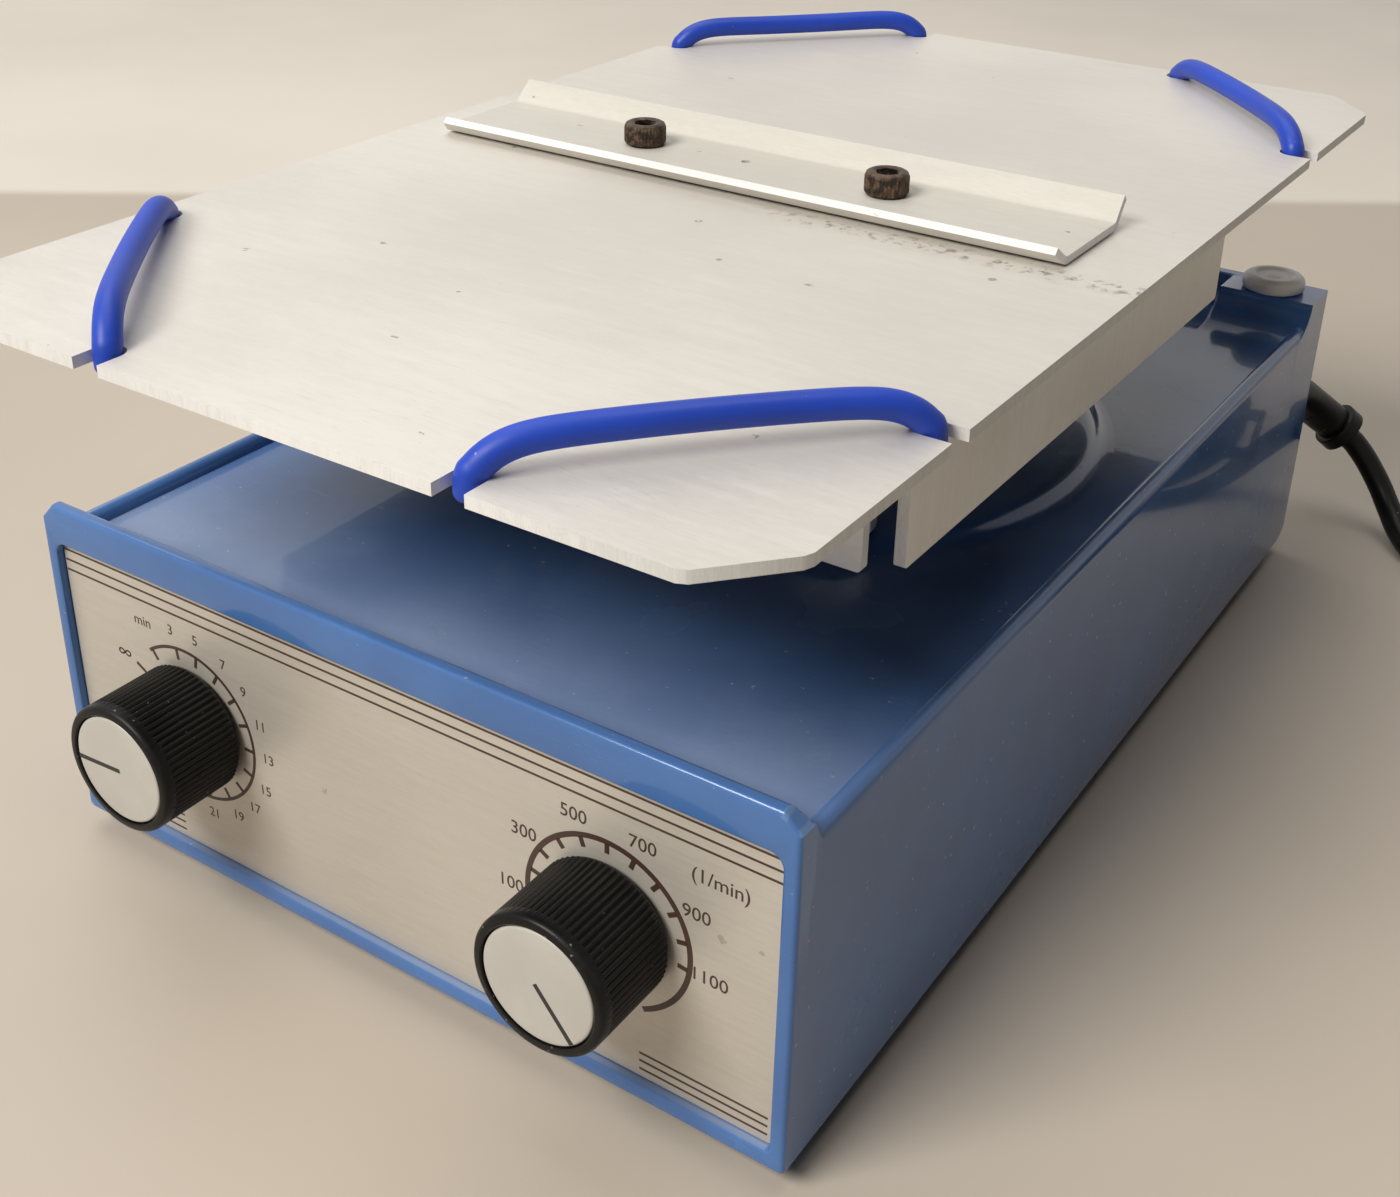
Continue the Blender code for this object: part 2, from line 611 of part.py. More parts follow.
flangeTop = WEB_LOW - GAP
hubLine = [(BEARING_R + GAP, CUP_LOW + 13), (BEARING_R + GAP, CUP_LOW), (CUP_R, CUP_LOW),
           (CUP_R, flangeTop - FLANGE_T), (FLANGE_R, flangeTop - FLANGE_T), (FLANGE_R, flangeTop)]
hub = lathe("table_hub", hubLine, sheet, parent=tableAxis, count=32)
boolean(hub, screwCutter, "DIFFERENCE")


def makePan():
    # A folded sheet: a web and four separate flanges with rounded free corners, thickened inwards.
    bm = bmesh.new()
    sideX, frontY = PAN_W / 2, PAN_L / 2
    endX, endY = PAN_FRONT_W / 2, PAN_SIDE_L / 2
    bendX, bendY = sideX - PAN_BEND, frontY - PAN_BEND
    quarterWeb = [(bendX, endY), (endX, endY), (endX, bendY)]
    web = quarterWeb + [(-x, y) for x, y in reversed(quarterWeb)]
    web += [(-x, -y) for x, y in quarterWeb] + [(x, -y) for x, y in reversed(quarterWeb)]
    bm.faces.new([bm.verts.new((x, y, WEB_TOP)) for x, y in web])
    drop = [(PAN_BEND * math.sin(a), WEB_TOP - PAN_BEND * (1 - math.cos(a)))
            for a in (math.radians(22.5 * i) for i in range(5))]
    corner = [(PAN_TIP - x, PAN_LOW + PAN_TIP - z) for x, z in arc((0, 0), PAN_TIP, 0, 90, 4)]
    for angle, reach, length in ((0, bendX, endY), (90, bendY, endX), (180, bendX, endY), (270, bendY, endX)):
        turn = Matrix.Rotation(math.radians(angle), 4, "Z")
        strips = [[bm.verts.new(turn @ Vector((reach + out, side * length, z))) for side in (-1, 1)]
                  for out, z in drop]
        for upper, lower in zip(strips, strips[1:]):
            bm.faces.new((upper[0], lower[0], lower[1], upper[1]))
        free = [(-length + x, z) for x, z in corner] + [(length - x, z) for x, z in reversed(corner)]
        low = [bm.verts.new(turn @ Vector((reach + PAN_BEND, y, z))) for y, z in free]
        bm.faces.new([strips[-1][0]] + low + [strips[-1][1]])
    bmesh.ops.remove_doubles(bm, verts=bm.verts, dist=0.01)
    made = fromBmesh("pan", bm, sheet, parent=tableAxis)
    thicken = made.modifiers.new("Sheet", "SOLIDIFY")
    thicken.thickness = PAN_T * MM
    thicken.offset = -1.0
    thicken.use_even_offset = True
    return made


pan = makePan()
boolean(pan, screwCutter, "DIFFERENCE")


def tableQuarter():
    # Outline of one quarter of the plate, from the long edge round the corner to the short edge.
    halfW = TABLE_W / 2
    halfL = TABLE_L / 2
    r = SLOT_W / 2
    points = [(halfW, SLOT_SIDE_Y - r)]
    points += reversed(arc((halfW - SLOT_INSET, SLOT_SIDE_Y), r, 90, 270, 8))
    points += [(halfW, SLOT_SIDE_Y + r), (halfW, halfL - CORNER_Y)]
    points += [(halfW - CORNER_X, halfL), (SLOT_END_X + r, halfL)]
    points += reversed(arc((SLOT_END_X, halfL - SLOT_INSET), r, 180, 360, 8))
    points.append((SLOT_END_X - r, halfL))
    return points


quarter = tableQuarter()
outline = quarter + [(-x, y) for x, y in reversed(quarter)]
outline += [(-x, -y) for x, y in quarter] + [(x, -y) for x, y in reversed(quarter)]
plate = bmesh.new()
addPrism(plate, outline, TABLE_LOW, TABLE_TOP)
for place, normal in ((SEAT_W / 2, (1, 0, 0)), (-SEAT_W / 2, (1, 0, 0)), (BAR_Y + SEAT_OFF, (0, 1, 0)),
                      (BAR_Y + SEAT_OFF + SEAT_L, (0, 1, 0)), (BAR_Y - SEAT_OFF, (0, 1, 0)),
                      (BAR_Y - SEAT_OFF - SEAT_L, (0, 1, 0))):
    whole = plate.verts[:] + plate.edges[:] + plate.faces[:]
    bmesh.ops.bisect_plane(plate, geom=whole, plane_co=Vector(normal) * place, plane_no=normal)
tablePlate = fromBmesh("table_plate", plate, sheet, parent=tableAxis)
boolean(tablePlate, screwCutter, "DIFFERENCE")


def makeBar():
    # A flat strip with both long edges folded up at 45 degrees, the rear one higher.
    front, rear = BAR_FORE + BAR_LIP, BAR_AFT + BAR_WING
    across = [(-front, BAR_LIP), (-BAR_FORE, 0), (BAR_AFT, 0), (rear, BAR_WING)]
    slant = BAR_T * math.tan(math.radians(22.5))
    lean = BAR_T / math.sqrt(2)
    upper = [(-front + lean, BAR_LIP + lean), (-BAR_FORE + slant, BAR_T), (BAR_AFT - slant, BAR_T),
             (rear - lean, BAR_WING + lean)]
    bm = bmesh.new()
    ends = []
    for side in (-1, 1):
        reach = [BAR_L / 2 - BAR_CLIP, BAR_L / 2, BAR_L / 2, BAR_L / 2]
        under = [bm.verts.new((side * x, y, z)) for x, (y, z) in zip(reach, across)]
        over = [bm.verts.new((side * x, y, z)) for x, (y, z) in zip(reach, upper)]
        ends.append(under + list(reversed(over)))
        for i in range(3):
            bm.faces.new((under[i], under[i + 1], over[i + 1], over[i]))
    for i in range(8):
        j = (i + 1) % 8
        bm.faces.new((ends[0][i], ends[0][j], ends[1][j], ends[1][i]))
    return fromBmesh("divider_bar", bm, sheet, (BAR_X, BAR_Y, BAR_LOW), tableAxis)


bar = makeBar()
boolean(bar, screwCutter, "DIFFERENCE")
screwLine = [(SCREW_R, -9.5), (SCREW_R, GAP), (SCREW_HEAD_R - 0.3, GAP), (SCREW_HEAD_R, 0.8),
             (SCREW_HEAD_R, SCREW_HEAD_H - 0.6), (SCREW_HEAD_R - 0.6, SCREW_HEAD_H),
             (SOCKET_R, SCREW_HEAD_H), (SOCKET_R, SCREW_HEAD_H - SOCKET_DEEP)]
for i, x in enumerate(SCREW_X):
    lathe(f"bar_screw_{i + 1}", screwLine, darkSteel, (x, BAR_Y, BAR_TOP), tableAxis)


def strapRoute(start, end):
    # Up through one slot, over the corner and down through the other.
    along = (end - start).normalized()
    span = (end - start).length
    top = TABLE_TOP + STRAP_RISE
    shape = [(0.0, TABLE_LOW - STRAP_TAIL), (0.0, TABLE_LOW - 1)]
    shape += [(STRAP_BEND + x, top - STRAP_BEND + z) for x, z in arc((0, 0), STRAP_BEND, 180, 90, 6)]
    shape += [(span / 2, top + 0.6)]
    shape += [(span - x, z) for x, z in reversed(shape[:-1])]
    return [(start + along * s).to_3d() + Vector((0, 0, z)) for s, z in shape]


strapNumber = 0
for sideX in (-1, 1):
    for sideY in (-1, 1):
        strapNumber += 1
        first = Vector((sideX * SLOT_END_X, sideY * (TABLE_L / 2 - SLOT_INSET)))
        second = Vector((sideX * (TABLE_W / 2 - SLOT_INSET), sideY * SLOT_SIDE_Y))
        tube(f"strap_{strapNumber}", strapRoute(first, second), STRAP_R, silicone, 2, tableAxis)


# Mains lead: sleeve in the rear wall, free run, coil with its tie, tail and plug
def sweep(name, knots, radii, mat, count=20):
    # Round sections along a bent line, each square to it.
    bm = bmesh.new()
    rings = []
    for i, (knot, radius) in enumerate(zip(knots, radii)):
        ahead = (knots[min(i + 1, len(knots) - 1)] - knots[max(i - 1, 0)]).normalized()
        turn = ahead.to_track_quat("Z", "Y")
        rings.append([knot + turn @ Vector(p) for p in circle(radius, 0, count=count)])
    bridgeRings(bm, rings)
    return fromBmesh(name, bm, mat)


# Lead between sleeve and coil: beyond the right side, behind the rear face, above the floor
RUN_KNOTS = ((15.6, 26.0, 10.9), (20.3, 22.7, 5.7), (25.0, 17.9, 1.9), (30.5, 12.7, 0.2),
             (40.6, 6.7, 0.0), (52.0, 4.2, 0.3))

glandZ = BODY_LOW + GLAND_UP
glandLine = [Vector((GLAND_X + x, REAR_Y + y, glandZ + z)) for x, y, z in (
    (0, -4.2, 0), (0, 0.6, 0), (0, 1.0, 0), (0.1, 4.4, -0.5), (1.0, 11.6, -3.2), (3.0, 17.9, -7.4),
    (6.8, 22.8, -12.1), (9.3, 24.7, -14.5), (9.4, 24.8, -14.6), (12.0, 26.1, -17.0), (12.8, 26.3, -17.7))]
sweep("cord_sleeve", glandLine, (5.2, 5.2, 4.8, 4.8, 4.8, 4.7, 4.6, 4.5, 6.0, 6.0, 4.4), rubber)

leave = (glandLine[-1] - glandLine[-2]).normalized()
start = glandLine[-1] + leave * GAP
floorZ = CORD_R + 0.05
coilStart = Vector((COIL_X - CORD_R * 2, COIL_Y - COIL_R, COIL_LOW))
runKnots = [start, start + leave * CORD_R]
runKnots += [Vector((HALF_W + x, REAR_Y + y, floorZ + z)) for x, y, z in RUN_KNOTS]
runKnots += [coilStart - Vector((CORD_R * 2, 0, 0)), coilStart - Vector((GAP, 0, 0))]
runPoints = smoothRoute(runKnots, CORD_R * 4)
tube("cord_run", runPoints, CORD_R, rubber, 2)


def coilRoute():
    # Lower layer winds in, the lead climbs in the half turn where the spiral reverses, upper layer winds out.
    total = COIL_TURNS_IN + 0.5 + COIL_TURNS_OUT
    points = [coilStart]
    for i in range(round(total * COIL_TURNS_STEPS) + 1):
        turns = i / COIL_TURNS_STEPS
        inward = min(turns, COIL_TURNS_IN + 0.25)
        outward = max(0.0, turns - COIL_TURNS_IN - 0.25)
        radius = COIL_R - COIL_PITCH * (inward - outward)
        climb = min(1.0, max(0.0, (turns - COIL_TURNS_IN) / 0.5))
        angle = math.tau * turns - math.pi / 2
        points.append(Vector((COIL_X + radius * math.cos(angle), COIL_Y + radius * math.sin(angle),
                              COIL_LOW + COIL_PITCH * climb * climb * (3 - 2 * climb))))
    points.append(points[-1] + Vector((CORD_R * 2, 0, 0)))
    return points


def leastGap(points, apart):
    return min((p - q).length for i, p in enumerate(points) for q in points[i + apart:]) - CORD_R * 2


coilPoints = coilRoute()
tube("cord_coil", coilPoints, CORD_R, rubber, 1)
print(f"coil least gap {leastGap(coilPoints, COIL_TURNS_STEPS // 2):.2f} mm")

tieT = 0.5
tieW = 8.0
tieIn = COIL_R - COIL_PITCH * (COIL_TURNS_IN + 0.25) - CORD_R - 0.6
tieOut = COIL_R + CORD_R + 1.2
tieLow = COIL_LOW - CORD_R - GAP
tieHigh = COIL_LOW + COIL_PITCH + CORD_R + GAP


def tieLoop(grow):
    middle = COIL_X - (tieIn + tieOut) / 2
    half = (tieOut - tieIn) / 2 + grow
    return [(middle + x, z) for x, z in roundedRect(half, tieLow - grow, tieHigh + grow, 1.2 + grow)]


tie = bmesh.new()
bridgeRings(tie, [[(x, y, z) for x, z in tieLoop(grow)]
                  for grow, y in ((0, -tieW / 2), (tieT, -tieW / 2), (tieT, tieW / 2), (0, tieW / 2))], True)
fromBmesh("coil_tie", tie, rubber, (0, COIL_Y, 0))

plugZ = PLUG_R + 0.1
plugX = COIL_X + PLUG_OUT
plugY = COIL_Y - PLUG_FORE
tailStart = coilPoints[-1] + Vector((GAP, 0, 0))
plugBack = Vector((plugX, plugY, plugZ))
tailKnots = [tailStart, tailStart + Vector((CORD_R * 2, 0, 0)), tailStart + Vector((27, 0.3, 1.0)),
             tailStart + Vector((43.7, 3.9, 3.0)), tailStart + Vector((53.2, 13.4, 5.6)),
             plugBack - Vector((0.4, CORD_R * 3, 0.4)), plugBack - Vector((0, GAP, 0))]
tailPoints = smoothRoute(tailKnots, CORD_R * 4)
tube("cord_tail", tailPoints, CORD_R, rubber, 2)
plugEnd = PLUG_NECK_L + PLUG_L
plugLine = [(CORD_R + 1.0, 0), (CORD_R + 1.6, PLUG_NECK_L - 4), (PLUG_R / 2, PLUG_NECK_L),
            (PLUG_R - 3, PLUG_NECK_L + 8), (PLUG_R, PLUG_NECK_L + 12), (PLUG_R, plugEnd - 1),
            (PLUG_R - 1, plugEnd)]
plugBody = lathe("plug_body", plugLine, rubber, plugBack, count=28)
plugBody.rotation_euler = (-math.pi / 2, 0, 0)
for i, side in enumerate((-1, 1)):
    pinLine = [(PLUG_PIN_R, GAP), (PLUG_PIN_R, PLUG_PIN_L - 1.5), (PLUG_PIN_R - 1, PLUG_PIN_L)]
    pinRoot = (plugX + side * PLUG_PIN_PITCH / 2, plugY + plugEnd, plugZ)
    pin = lathe(f"plug_pin_{i + 1}", pinLine, steel, pinRoot, count=16)
    pin.rotation_euler = (-math.pi / 2, 0, 0)
lead = runPoints + coilPoints + tailPoints
print(f"lead {sum((q - p).length for p, q in zip(lead, lead[1:])):.0f} mm from sleeve to plug")
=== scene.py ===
import math

import bmesh
import bpy
from mathutils import Matrix, Vector


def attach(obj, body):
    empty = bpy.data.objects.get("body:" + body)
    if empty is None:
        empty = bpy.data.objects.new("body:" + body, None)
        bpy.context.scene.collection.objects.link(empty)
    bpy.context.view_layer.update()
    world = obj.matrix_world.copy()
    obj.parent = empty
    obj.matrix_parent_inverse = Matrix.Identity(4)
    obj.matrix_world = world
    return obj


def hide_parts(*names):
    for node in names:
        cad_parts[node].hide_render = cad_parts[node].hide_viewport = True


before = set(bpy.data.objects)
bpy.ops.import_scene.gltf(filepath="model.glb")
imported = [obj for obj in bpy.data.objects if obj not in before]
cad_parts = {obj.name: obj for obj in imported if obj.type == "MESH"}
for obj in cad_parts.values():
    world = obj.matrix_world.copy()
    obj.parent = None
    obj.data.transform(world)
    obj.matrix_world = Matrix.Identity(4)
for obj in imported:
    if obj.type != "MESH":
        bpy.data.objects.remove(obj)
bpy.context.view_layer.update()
mm = 0.001
print("frame loaded:", len(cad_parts), "nodes")


def addObject(name, data):
    piece = bpy.data.objects.new(name, data)
    bpy.context.scene.collection.objects.link(piece)
    return piece


# camera at the photograph's place; lengths in this script are millimetres unless a line says otherwise
view = {"place": (171.78, -287.28, 221.18), "azimuth": 33.363, "elevation": 26.564, "roll": 1.067,
        "lens": 45.132, "shiftX": 0.00682, "shiftY": -0.09467}


def makeCamera():
    azimuth = math.radians(view["azimuth"])
    elevation = math.radians(view["elevation"])
    roll = math.radians(view["roll"])
    forward = Vector((-math.sin(azimuth) * math.cos(elevation), math.cos(azimuth) * math.cos(elevation),
                      -math.sin(elevation)))
    right = forward.cross(Vector((0, 0, 1))).normalized()
    up = right.cross(forward)
    acrossAxis = math.cos(roll) * right + math.sin(roll) * up
    upAxis = -math.sin(roll) * right + math.cos(roll) * up
    lens = bpy.data.cameras.new("photoCamera")
    lens.sensor_fit = "HORIZONTAL"
    lens.sensor_width = 36.0
    lens.lens = view["lens"]
    lens.shift_x = view["shiftX"]
    lens.shift_y = view["shiftY"]
    lens.clip_start = 0.01
    camera = addObject("photoCamera", lens)
    turn = Matrix((acrossAxis, upAxis, -forward)).transposed()
    camera.matrix_world = Matrix.Translation(Vector(view["place"]) * mm) @ turn.to_4x4()
    bpy.context.scene.camera = camera


makeCamera()
bpy.context.scene.view_settings.view_transform = "Standard"
print("camera set")


# shader helpers
def feed(tree, node, values):
    # link what is a socket, set what is a constant
    for key, value in values.items():
        if isinstance(value, bpy.types.NodeSocket):
            tree.links.new(value, node.inputs[key])
        else:
            node.inputs[key].default_value = value


def addNode(tree, kind, values=None, **settings):
    node = tree.nodes.new(kind)
    for key, value in settings.items():
        setattr(node, key, value)
    feed(tree, node, values or {})
    return node


def newGroup(name, outputs, vector=True, **numbers):
    group = bpy.data.node_groups.new(name, "ShaderNodeTree")
    if vector:
        group.interface.new_socket("Vector", in_out="INPUT", socket_type="NodeSocketVector")
    for label, value in numbers.items():
        group.interface.new_socket(label, in_out="INPUT", socket_type="NodeSocketFloat").default_value = value
    for label in outputs:
        group.interface.new_socket(label, in_out="OUTPUT", socket_type="NodeSocketFloat")
    return group, group.nodes.new("NodeGroupInput").outputs, group.nodes.new("NodeGroupOutput")


def mathNode(tree, operation, first, second=0.5, third=None):
    values = {0: first, 1: second}
    if third is not None:
        values[2] = third
    return addNode(tree, "ShaderNodeMath", values, operation=operation).outputs[0]


def times(tree, first, second):
    return mathNode(tree, "MULTIPLY", first, second)


def rangeNode(tree, value, low, high, outLow=0.0, outHigh=1.0):
    values = {"Value": value, "From Min": low, "From Max": high, "To Min": outLow, "To Max": outHigh}
    return addNode(tree, "ShaderNodeMapRange", values, interpolation_type="SMOOTHSTEP").outputs[0]


def mixNode(tree, factor, first, second):
    node = addNode(tree, "ShaderNodeMix", {0: factor}, data_type="RGBA")
    ends = [value if isinstance(value, bpy.types.NodeSocket) else (*value, 1.0) for value in (first, second)]
    feed(tree, node, dict(zip((6, 7), ends)))
    return node.outputs[2]


def stretchNode(tree, vector, scale, turn=(0.0, 0.0, 0.0)):
    values = {"Vector": vector, "Scale": scale, "Rotation": turn}
    return addNode(tree, "ShaderNodeMapping", values).outputs[0]


def noiseNode(tree, vector, scale, detail=3.0, rough=0.5):
    values = {"Vector": vector, "Scale": scale, "Detail": detail, "Roughness": rough}
    return addNode(tree, "ShaderNodeTexNoise", values).outputs["Fac"]


def makeGrain():
    # long fine lines along one axis, as left by rolling or brushing
    group, given, result = newGroup("grain", ("Height", "Tone"), Fine=900.0)
    fine = noiseNode(group, given["Vector"], given["Fine"], 4.0, 0.62)
    broad = noiseNode(group, given["Vector"], times(group, given["Fine"], 0.16), 3.0)
    tone = mathNode(group, "ADD", times(group, fine, 0.6), times(group, broad, 0.4))
    feed(group, result, {"Height": fine, "Tone": tone})
    return group


def makeScuff():
    # sparse hairline scratches at three angles, broken up by clouds
    group, given, result = newGroup("scuff", ("Mask",), Scale=60.0, Amount=0.5)
    total = None
    for angle, squeeze in ((0.5, 22.0), (-0.9, 30.0), (2.1, 26.0)):
        lines = stretchNode(group, given["Vector"], (1.0, squeeze, squeeze), (0.3 * angle, 0.2, angle))
        streak = noiseNode(group, lines, given["Scale"], 1.0)
        away = mathNode(group, "ABSOLUTE", mathNode(group, "SUBTRACT", streak, 0.5))
        hair = rangeNode(group, away, 0.0, 0.006, 1.0, 0.0)
        cloud = noiseNode(group, given["Vector"], times(group, given["Scale"], 0.4 + 0.1 * angle), 2.0)
        kept = times(group, hair, rangeNode(group, cloud, 0.56, 0.66))
        total = kept if total is None else mathNode(group, "MAXIMUM", total, kept)
    feed(group, result, {"Mask": times(group, total, given["Amount"])})
    return group


def makeSpecks():
    # small scattered grains of dust and grime with a varying size
    group, given, result = newGroup("specks", ("Mask",), Scale=260.0, Share=0.1)
    cells = addNode(group, "ShaderNodeTexVoronoi", {"Vector": given["Vector"], "Scale": given["Scale"]})
    chosen = addNode(group, "ShaderNodeSeparateColor", {"Color": cells.outputs["Color"]})
    picked = mathNode(group, "LESS_THAN", chosen.outputs["Red"], given["Share"])
    ragged = noiseNode(group, given["Vector"], times(group, given["Scale"], 3.0), 2.0)
    radius = rangeNode(group, chosen.outputs["Green"], 0.0, 1.0, 0.08, 0.26)
    radius = times(group, radius, rangeNode(group, ragged, 0.3, 0.7, 0.3, 1.7))
    spot = mathNode(group, "LESS_THAN", cells.outputs["Distance"], radius)
    feed(group, result, {"Mask": times(group, picked, spot)})
    return group


def makePeel():
    # gentle ripple of thick enamel or moulded skin
    group, given, result = newGroup("peel", ("Height", "Cloud"), Scale=500.0)
    ripple = noiseNode(group, given["Vector"], given["Scale"], 2.0)
    cloud = noiseNode(group, given["Vector"], times(group, given["Scale"], 0.05), 4.0)
    feed(group, result, {"Height": ripple, "Cloud": cloud})
    return group


def makeRim():
    # line where a surface turns over an edge, lightened for worn paint and as a painted edge highlight
    group, given, result = newGroup("rim", ("Mask",), vector=False, Low=0.52, High=0.6)
    bent = addNode(group, "ShaderNodeNewGeometry").outputs["Pointiness"]
    feed(group, result, {"Mask": rangeNode(group, bent, given["Low"], given["High"])})
    return group


grainGroup = makeGrain()
scuffGroup = makeScuff()
speckGroup = makeSpecks()
peelGroup = makePeel()
rimGroup = makeRim()


def useGroup(tree, group, **values):
    return addNode(tree, "ShaderNodeGroup", values, node_tree=group).outputs


def newFinish(name):
    finish = bpy.data.materials.new(name)
    finish.use_nodes = True
    tree = finish.node_tree
    shader = tree.nodes["Principled BSDF"]
    place = tree.nodes.new("ShaderNodeTexCoord").outputs["Object"]
    return finish, tree, shader, place


def linkBump(tree, shader, height, strength, distance):
    bump = addNode(tree, "ShaderNodeBump", {"Height": height, "Strength": strength, "Distance": distance})
    feed(tree, shader, {"Normal": bump.outputs["Normal"]})


def makeEnamel():
    # look["dust"] colours the real dust specks and also the painted sheen on the deck
    look = {"colour": (0.070, 0.186, 0.47), "deep": (0.056, 0.150, 0.395), "rubAndHighlight": (0.16, 0.30, 0.54),
            "dust": (0.42, 0.42, 0.40), "rough": (0.16, 0.30), "paintedSheen": 0.30, "sheenFront": (-104.0, -70.0),
            "sheenTop": (65.5, 67.5)}
    finish, tree, shader, place = newFinish("blueEnamel")
    peel = useGroup(tree, peelGroup, Vector=place, Scale=650.0)
    scuff = useGroup(tree, scuffGroup, Vector=place, Scale=38.0, Amount=0.35)
    specks = useGroup(tree, speckGroup, Vector=place, Scale=900.0, Share=0.018)
    rim = useGroup(tree, rimGroup, Low=0.53, High=0.62)
    cloud = rangeNode(tree, peel["Cloud"], 0.35, 0.68)
    colour = mixNode(tree, cloud, look["deep"], look["colour"])
    # convex edges lightened: part worn paint, part painted edge highlight
    colour = mixNode(tree, times(tree, rim["Mask"], 0.55), colour, look["rubAndHighlight"])
    colour = mixNode(tree, scuff["Mask"], colour, look["rubAndHighlight"])
    colour = mixNode(tree, times(tree, specks["Mask"], 0.5), colour, look["dust"])
    # painted sheen and painted light: a grey haze on upward faces of the deck, strongest on the lit front strip
    # before the table's shadow, stands in for the wall's reflection
    shape = addNode(tree, "ShaderNodeNewGeometry")
    upward = addNode(tree, "ShaderNodeSeparateXYZ", {"Vector": shape.outputs["Normal"]}).outputs["Z"]
    spot = addNode(tree, "ShaderNodeSeparateXYZ", {"Vector": place})
    front = rangeNode(tree, spot.outputs["Y"], *[y * mm for y in look["sheenFront"]], 1.0, 0.25)
    low = rangeNode(tree, spot.outputs["Z"], *[z * mm for z in look["sheenTop"]], 1.0, 0.0)
    paintedSheen = times(tree, rangeNode(tree, upward, 0.9, 0.99), low)  # painted sheen on the level deck, in place of reflection and light
    paintedSheen = times(tree, paintedSheen, front)
    paintedSheen = times(tree, paintedSheen, rangeNode(tree, peel["Cloud"], 0.3, 0.7, 0.75, 1.15))
    colour = mixNode(tree, times(tree, paintedSheen, look["paintedSheen"]), colour, look["dust"])
    rough = rangeNode(tree, peel["Cloud"], 0.3, 0.75, *look["rough"])
    rough = mathNode(tree, "ADD", rough, times(tree, specks["Mask"], 0.4))
    feed(tree, shader, {"Base Color": colour, "Roughness": rough, "Specular IOR Level": 0.22, "Coat Weight": 0.5,
                        "Coat Roughness": 0.03})
    linkBump(tree, shader, peel["Height"], 0.12, 0.0003)
    return finish


def makeSheet(name, stretch, tones, rough, metal=0.35, dirt=None):
    # satin aluminium sheet with rolled grain; the table's upper side also carries grime beside the bar
    dark, light, scratch, grime = tones
    finish, tree, shader, place = newFinish(name)
    lines = stretchNode(tree, place, stretch)
    grain = useGroup(tree, grainGroup, Vector=lines, Fine=420.0)
    scuff = useGroup(tree, scuffGroup, Vector=place, Scale=30.0, Amount=0.5)
    specks = useGroup(tree, speckGroup, Vector=place, Scale=420.0, Share=0.008)
    cloud = useGroup(tree, peelGroup, Vector=place, Scale=240.0)
    tone = mathNode(tree, "ADD", times(tree, grain["Tone"], 0.5),
                    times(tree, cloud["Cloud"], 0.5))
    colour = mixNode(tree, rangeNode(tree, tone, 0.36, 0.64), dark, light)
    colour = mixNode(tree, times(tree, scuff["Mask"], 0.5), colour, scratch)
    colour = mixNode(tree, times(tree, specks["Mask"], 0.55), colour, grime)
    if dirt:
        split = addNode(tree, "ShaderNodeSeparateXYZ", {"Vector": place})
        away = mathNode(tree, "ABSOLUTE", mathNode(tree, "ADD", split.outputs["Y"], dirt["y"] * mm))
        beside = rangeNode(tree, away, 0.0, dirt["wide"] * mm, 1.0, 0.0)
        along = rangeNode(tree, split.outputs["X"], dirt["from"] * mm, dirt["to"] * mm)
        crumbs = rangeNode(tree, noiseNode(tree, place, 420.0, 5.0, 0.7), 0.50, 0.64)
        stain = times(tree, times(tree, beside, along), crumbs)
        colour = mixNode(tree, times(tree, stain, 0.75), colour, grime)
    dull = rangeNode(tree, tone, 0.3, 0.7, *rough)
    feed(tree, shader, {"Base Color": colour, "Roughness": dull, "Metallic": metal})
    linkBump(tree, shader, grain["Height"], 0.10, 0.0002)
    return finish


def makePlain(name, colours, rough, metal=0.0, bump=(900.0, 0.15), coat=0.0, dust=0.0, shine=0.5):
    # moulded, turned or coated stock: a clouded tone, a fine skin and a little dust
    finish, tree, shader, place = newFinish(name)
    peel = useGroup(tree, peelGroup, Vector=place, Scale=bump[0])
    rim = useGroup(tree, rimGroup, Low=0.54, High=0.66)
    colour = mixNode(tree, rangeNode(tree, peel["Cloud"], 0.35, 0.68), colours[0], colours[1])
    # convex edges lightened towards the third colour: part wear, part painted edge highlight
    colour = mixNode(tree, times(tree, rim["Mask"], 0.35), colour, colours[2])
    if dust:
        specks = useGroup(tree, speckGroup, Vector=place, Scale=1500.0, Share=dust)
        colour = mixNode(tree, times(tree, specks["Mask"], 0.45), colour, (0.45, 0.44, 0.42))
    dull = rangeNode(tree, peel["Cloud"], 0.3, 0.7, *rough)
    feed(tree, shader, {"Base Color": colour, "Roughness": dull, "Metallic": metal, "Coat Weight": coat,
                        "Specular IOR Level": shine})
    linkBump(tree, shader, peel["Height"], bump[1], 0.0002)
    return finish


def makeMilky():
    finish, tree, shader, place = newFinish("milkyCap")
    peel = useGroup(tree, peelGroup, Vector=place, Scale=800.0)
    colour = mixNode(tree, peel["Cloud"], (0.84, 0.82, 0.78), (0.93, 0.91, 0.88))
    rough = rangeNode(tree, peel["Cloud"], 0.3, 0.7, 0.28, 0.42)
    feed(tree, shader, {"Base Color": colour, "Roughness": rough, "Subsurface Weight": 0.25,
                        "Subsurface Scale": 0.004})
    linkBump(tree, shader, peel["Height"], 0.1, 0.0002)
    return finish


def makeRust():
    # blackened steel with brown rust in patches
    finish, tree, shader, place = newFinish("rustedScrew")
    cloud = noiseNode(tree, place, 700.0, 5.0, 0.65)
    colour = mixNode(tree, rangeNode(tree, cloud, 0.42, 0.62), (0.035, 0.026, 0.021), (0.115, 0.070, 0.040))
    feed(tree, shader, {"Base Color": colour, "Roughness": rangeNode(tree, cloud, 0.4, 0.6, 0.38, 0.75),
                        "Metallic": rangeNode(tree, cloud, 0.45, 0.62, 0.75, 0.15)})
    linkBump(tree, shader, cloud, 0.4, 0.0003)
    return finish


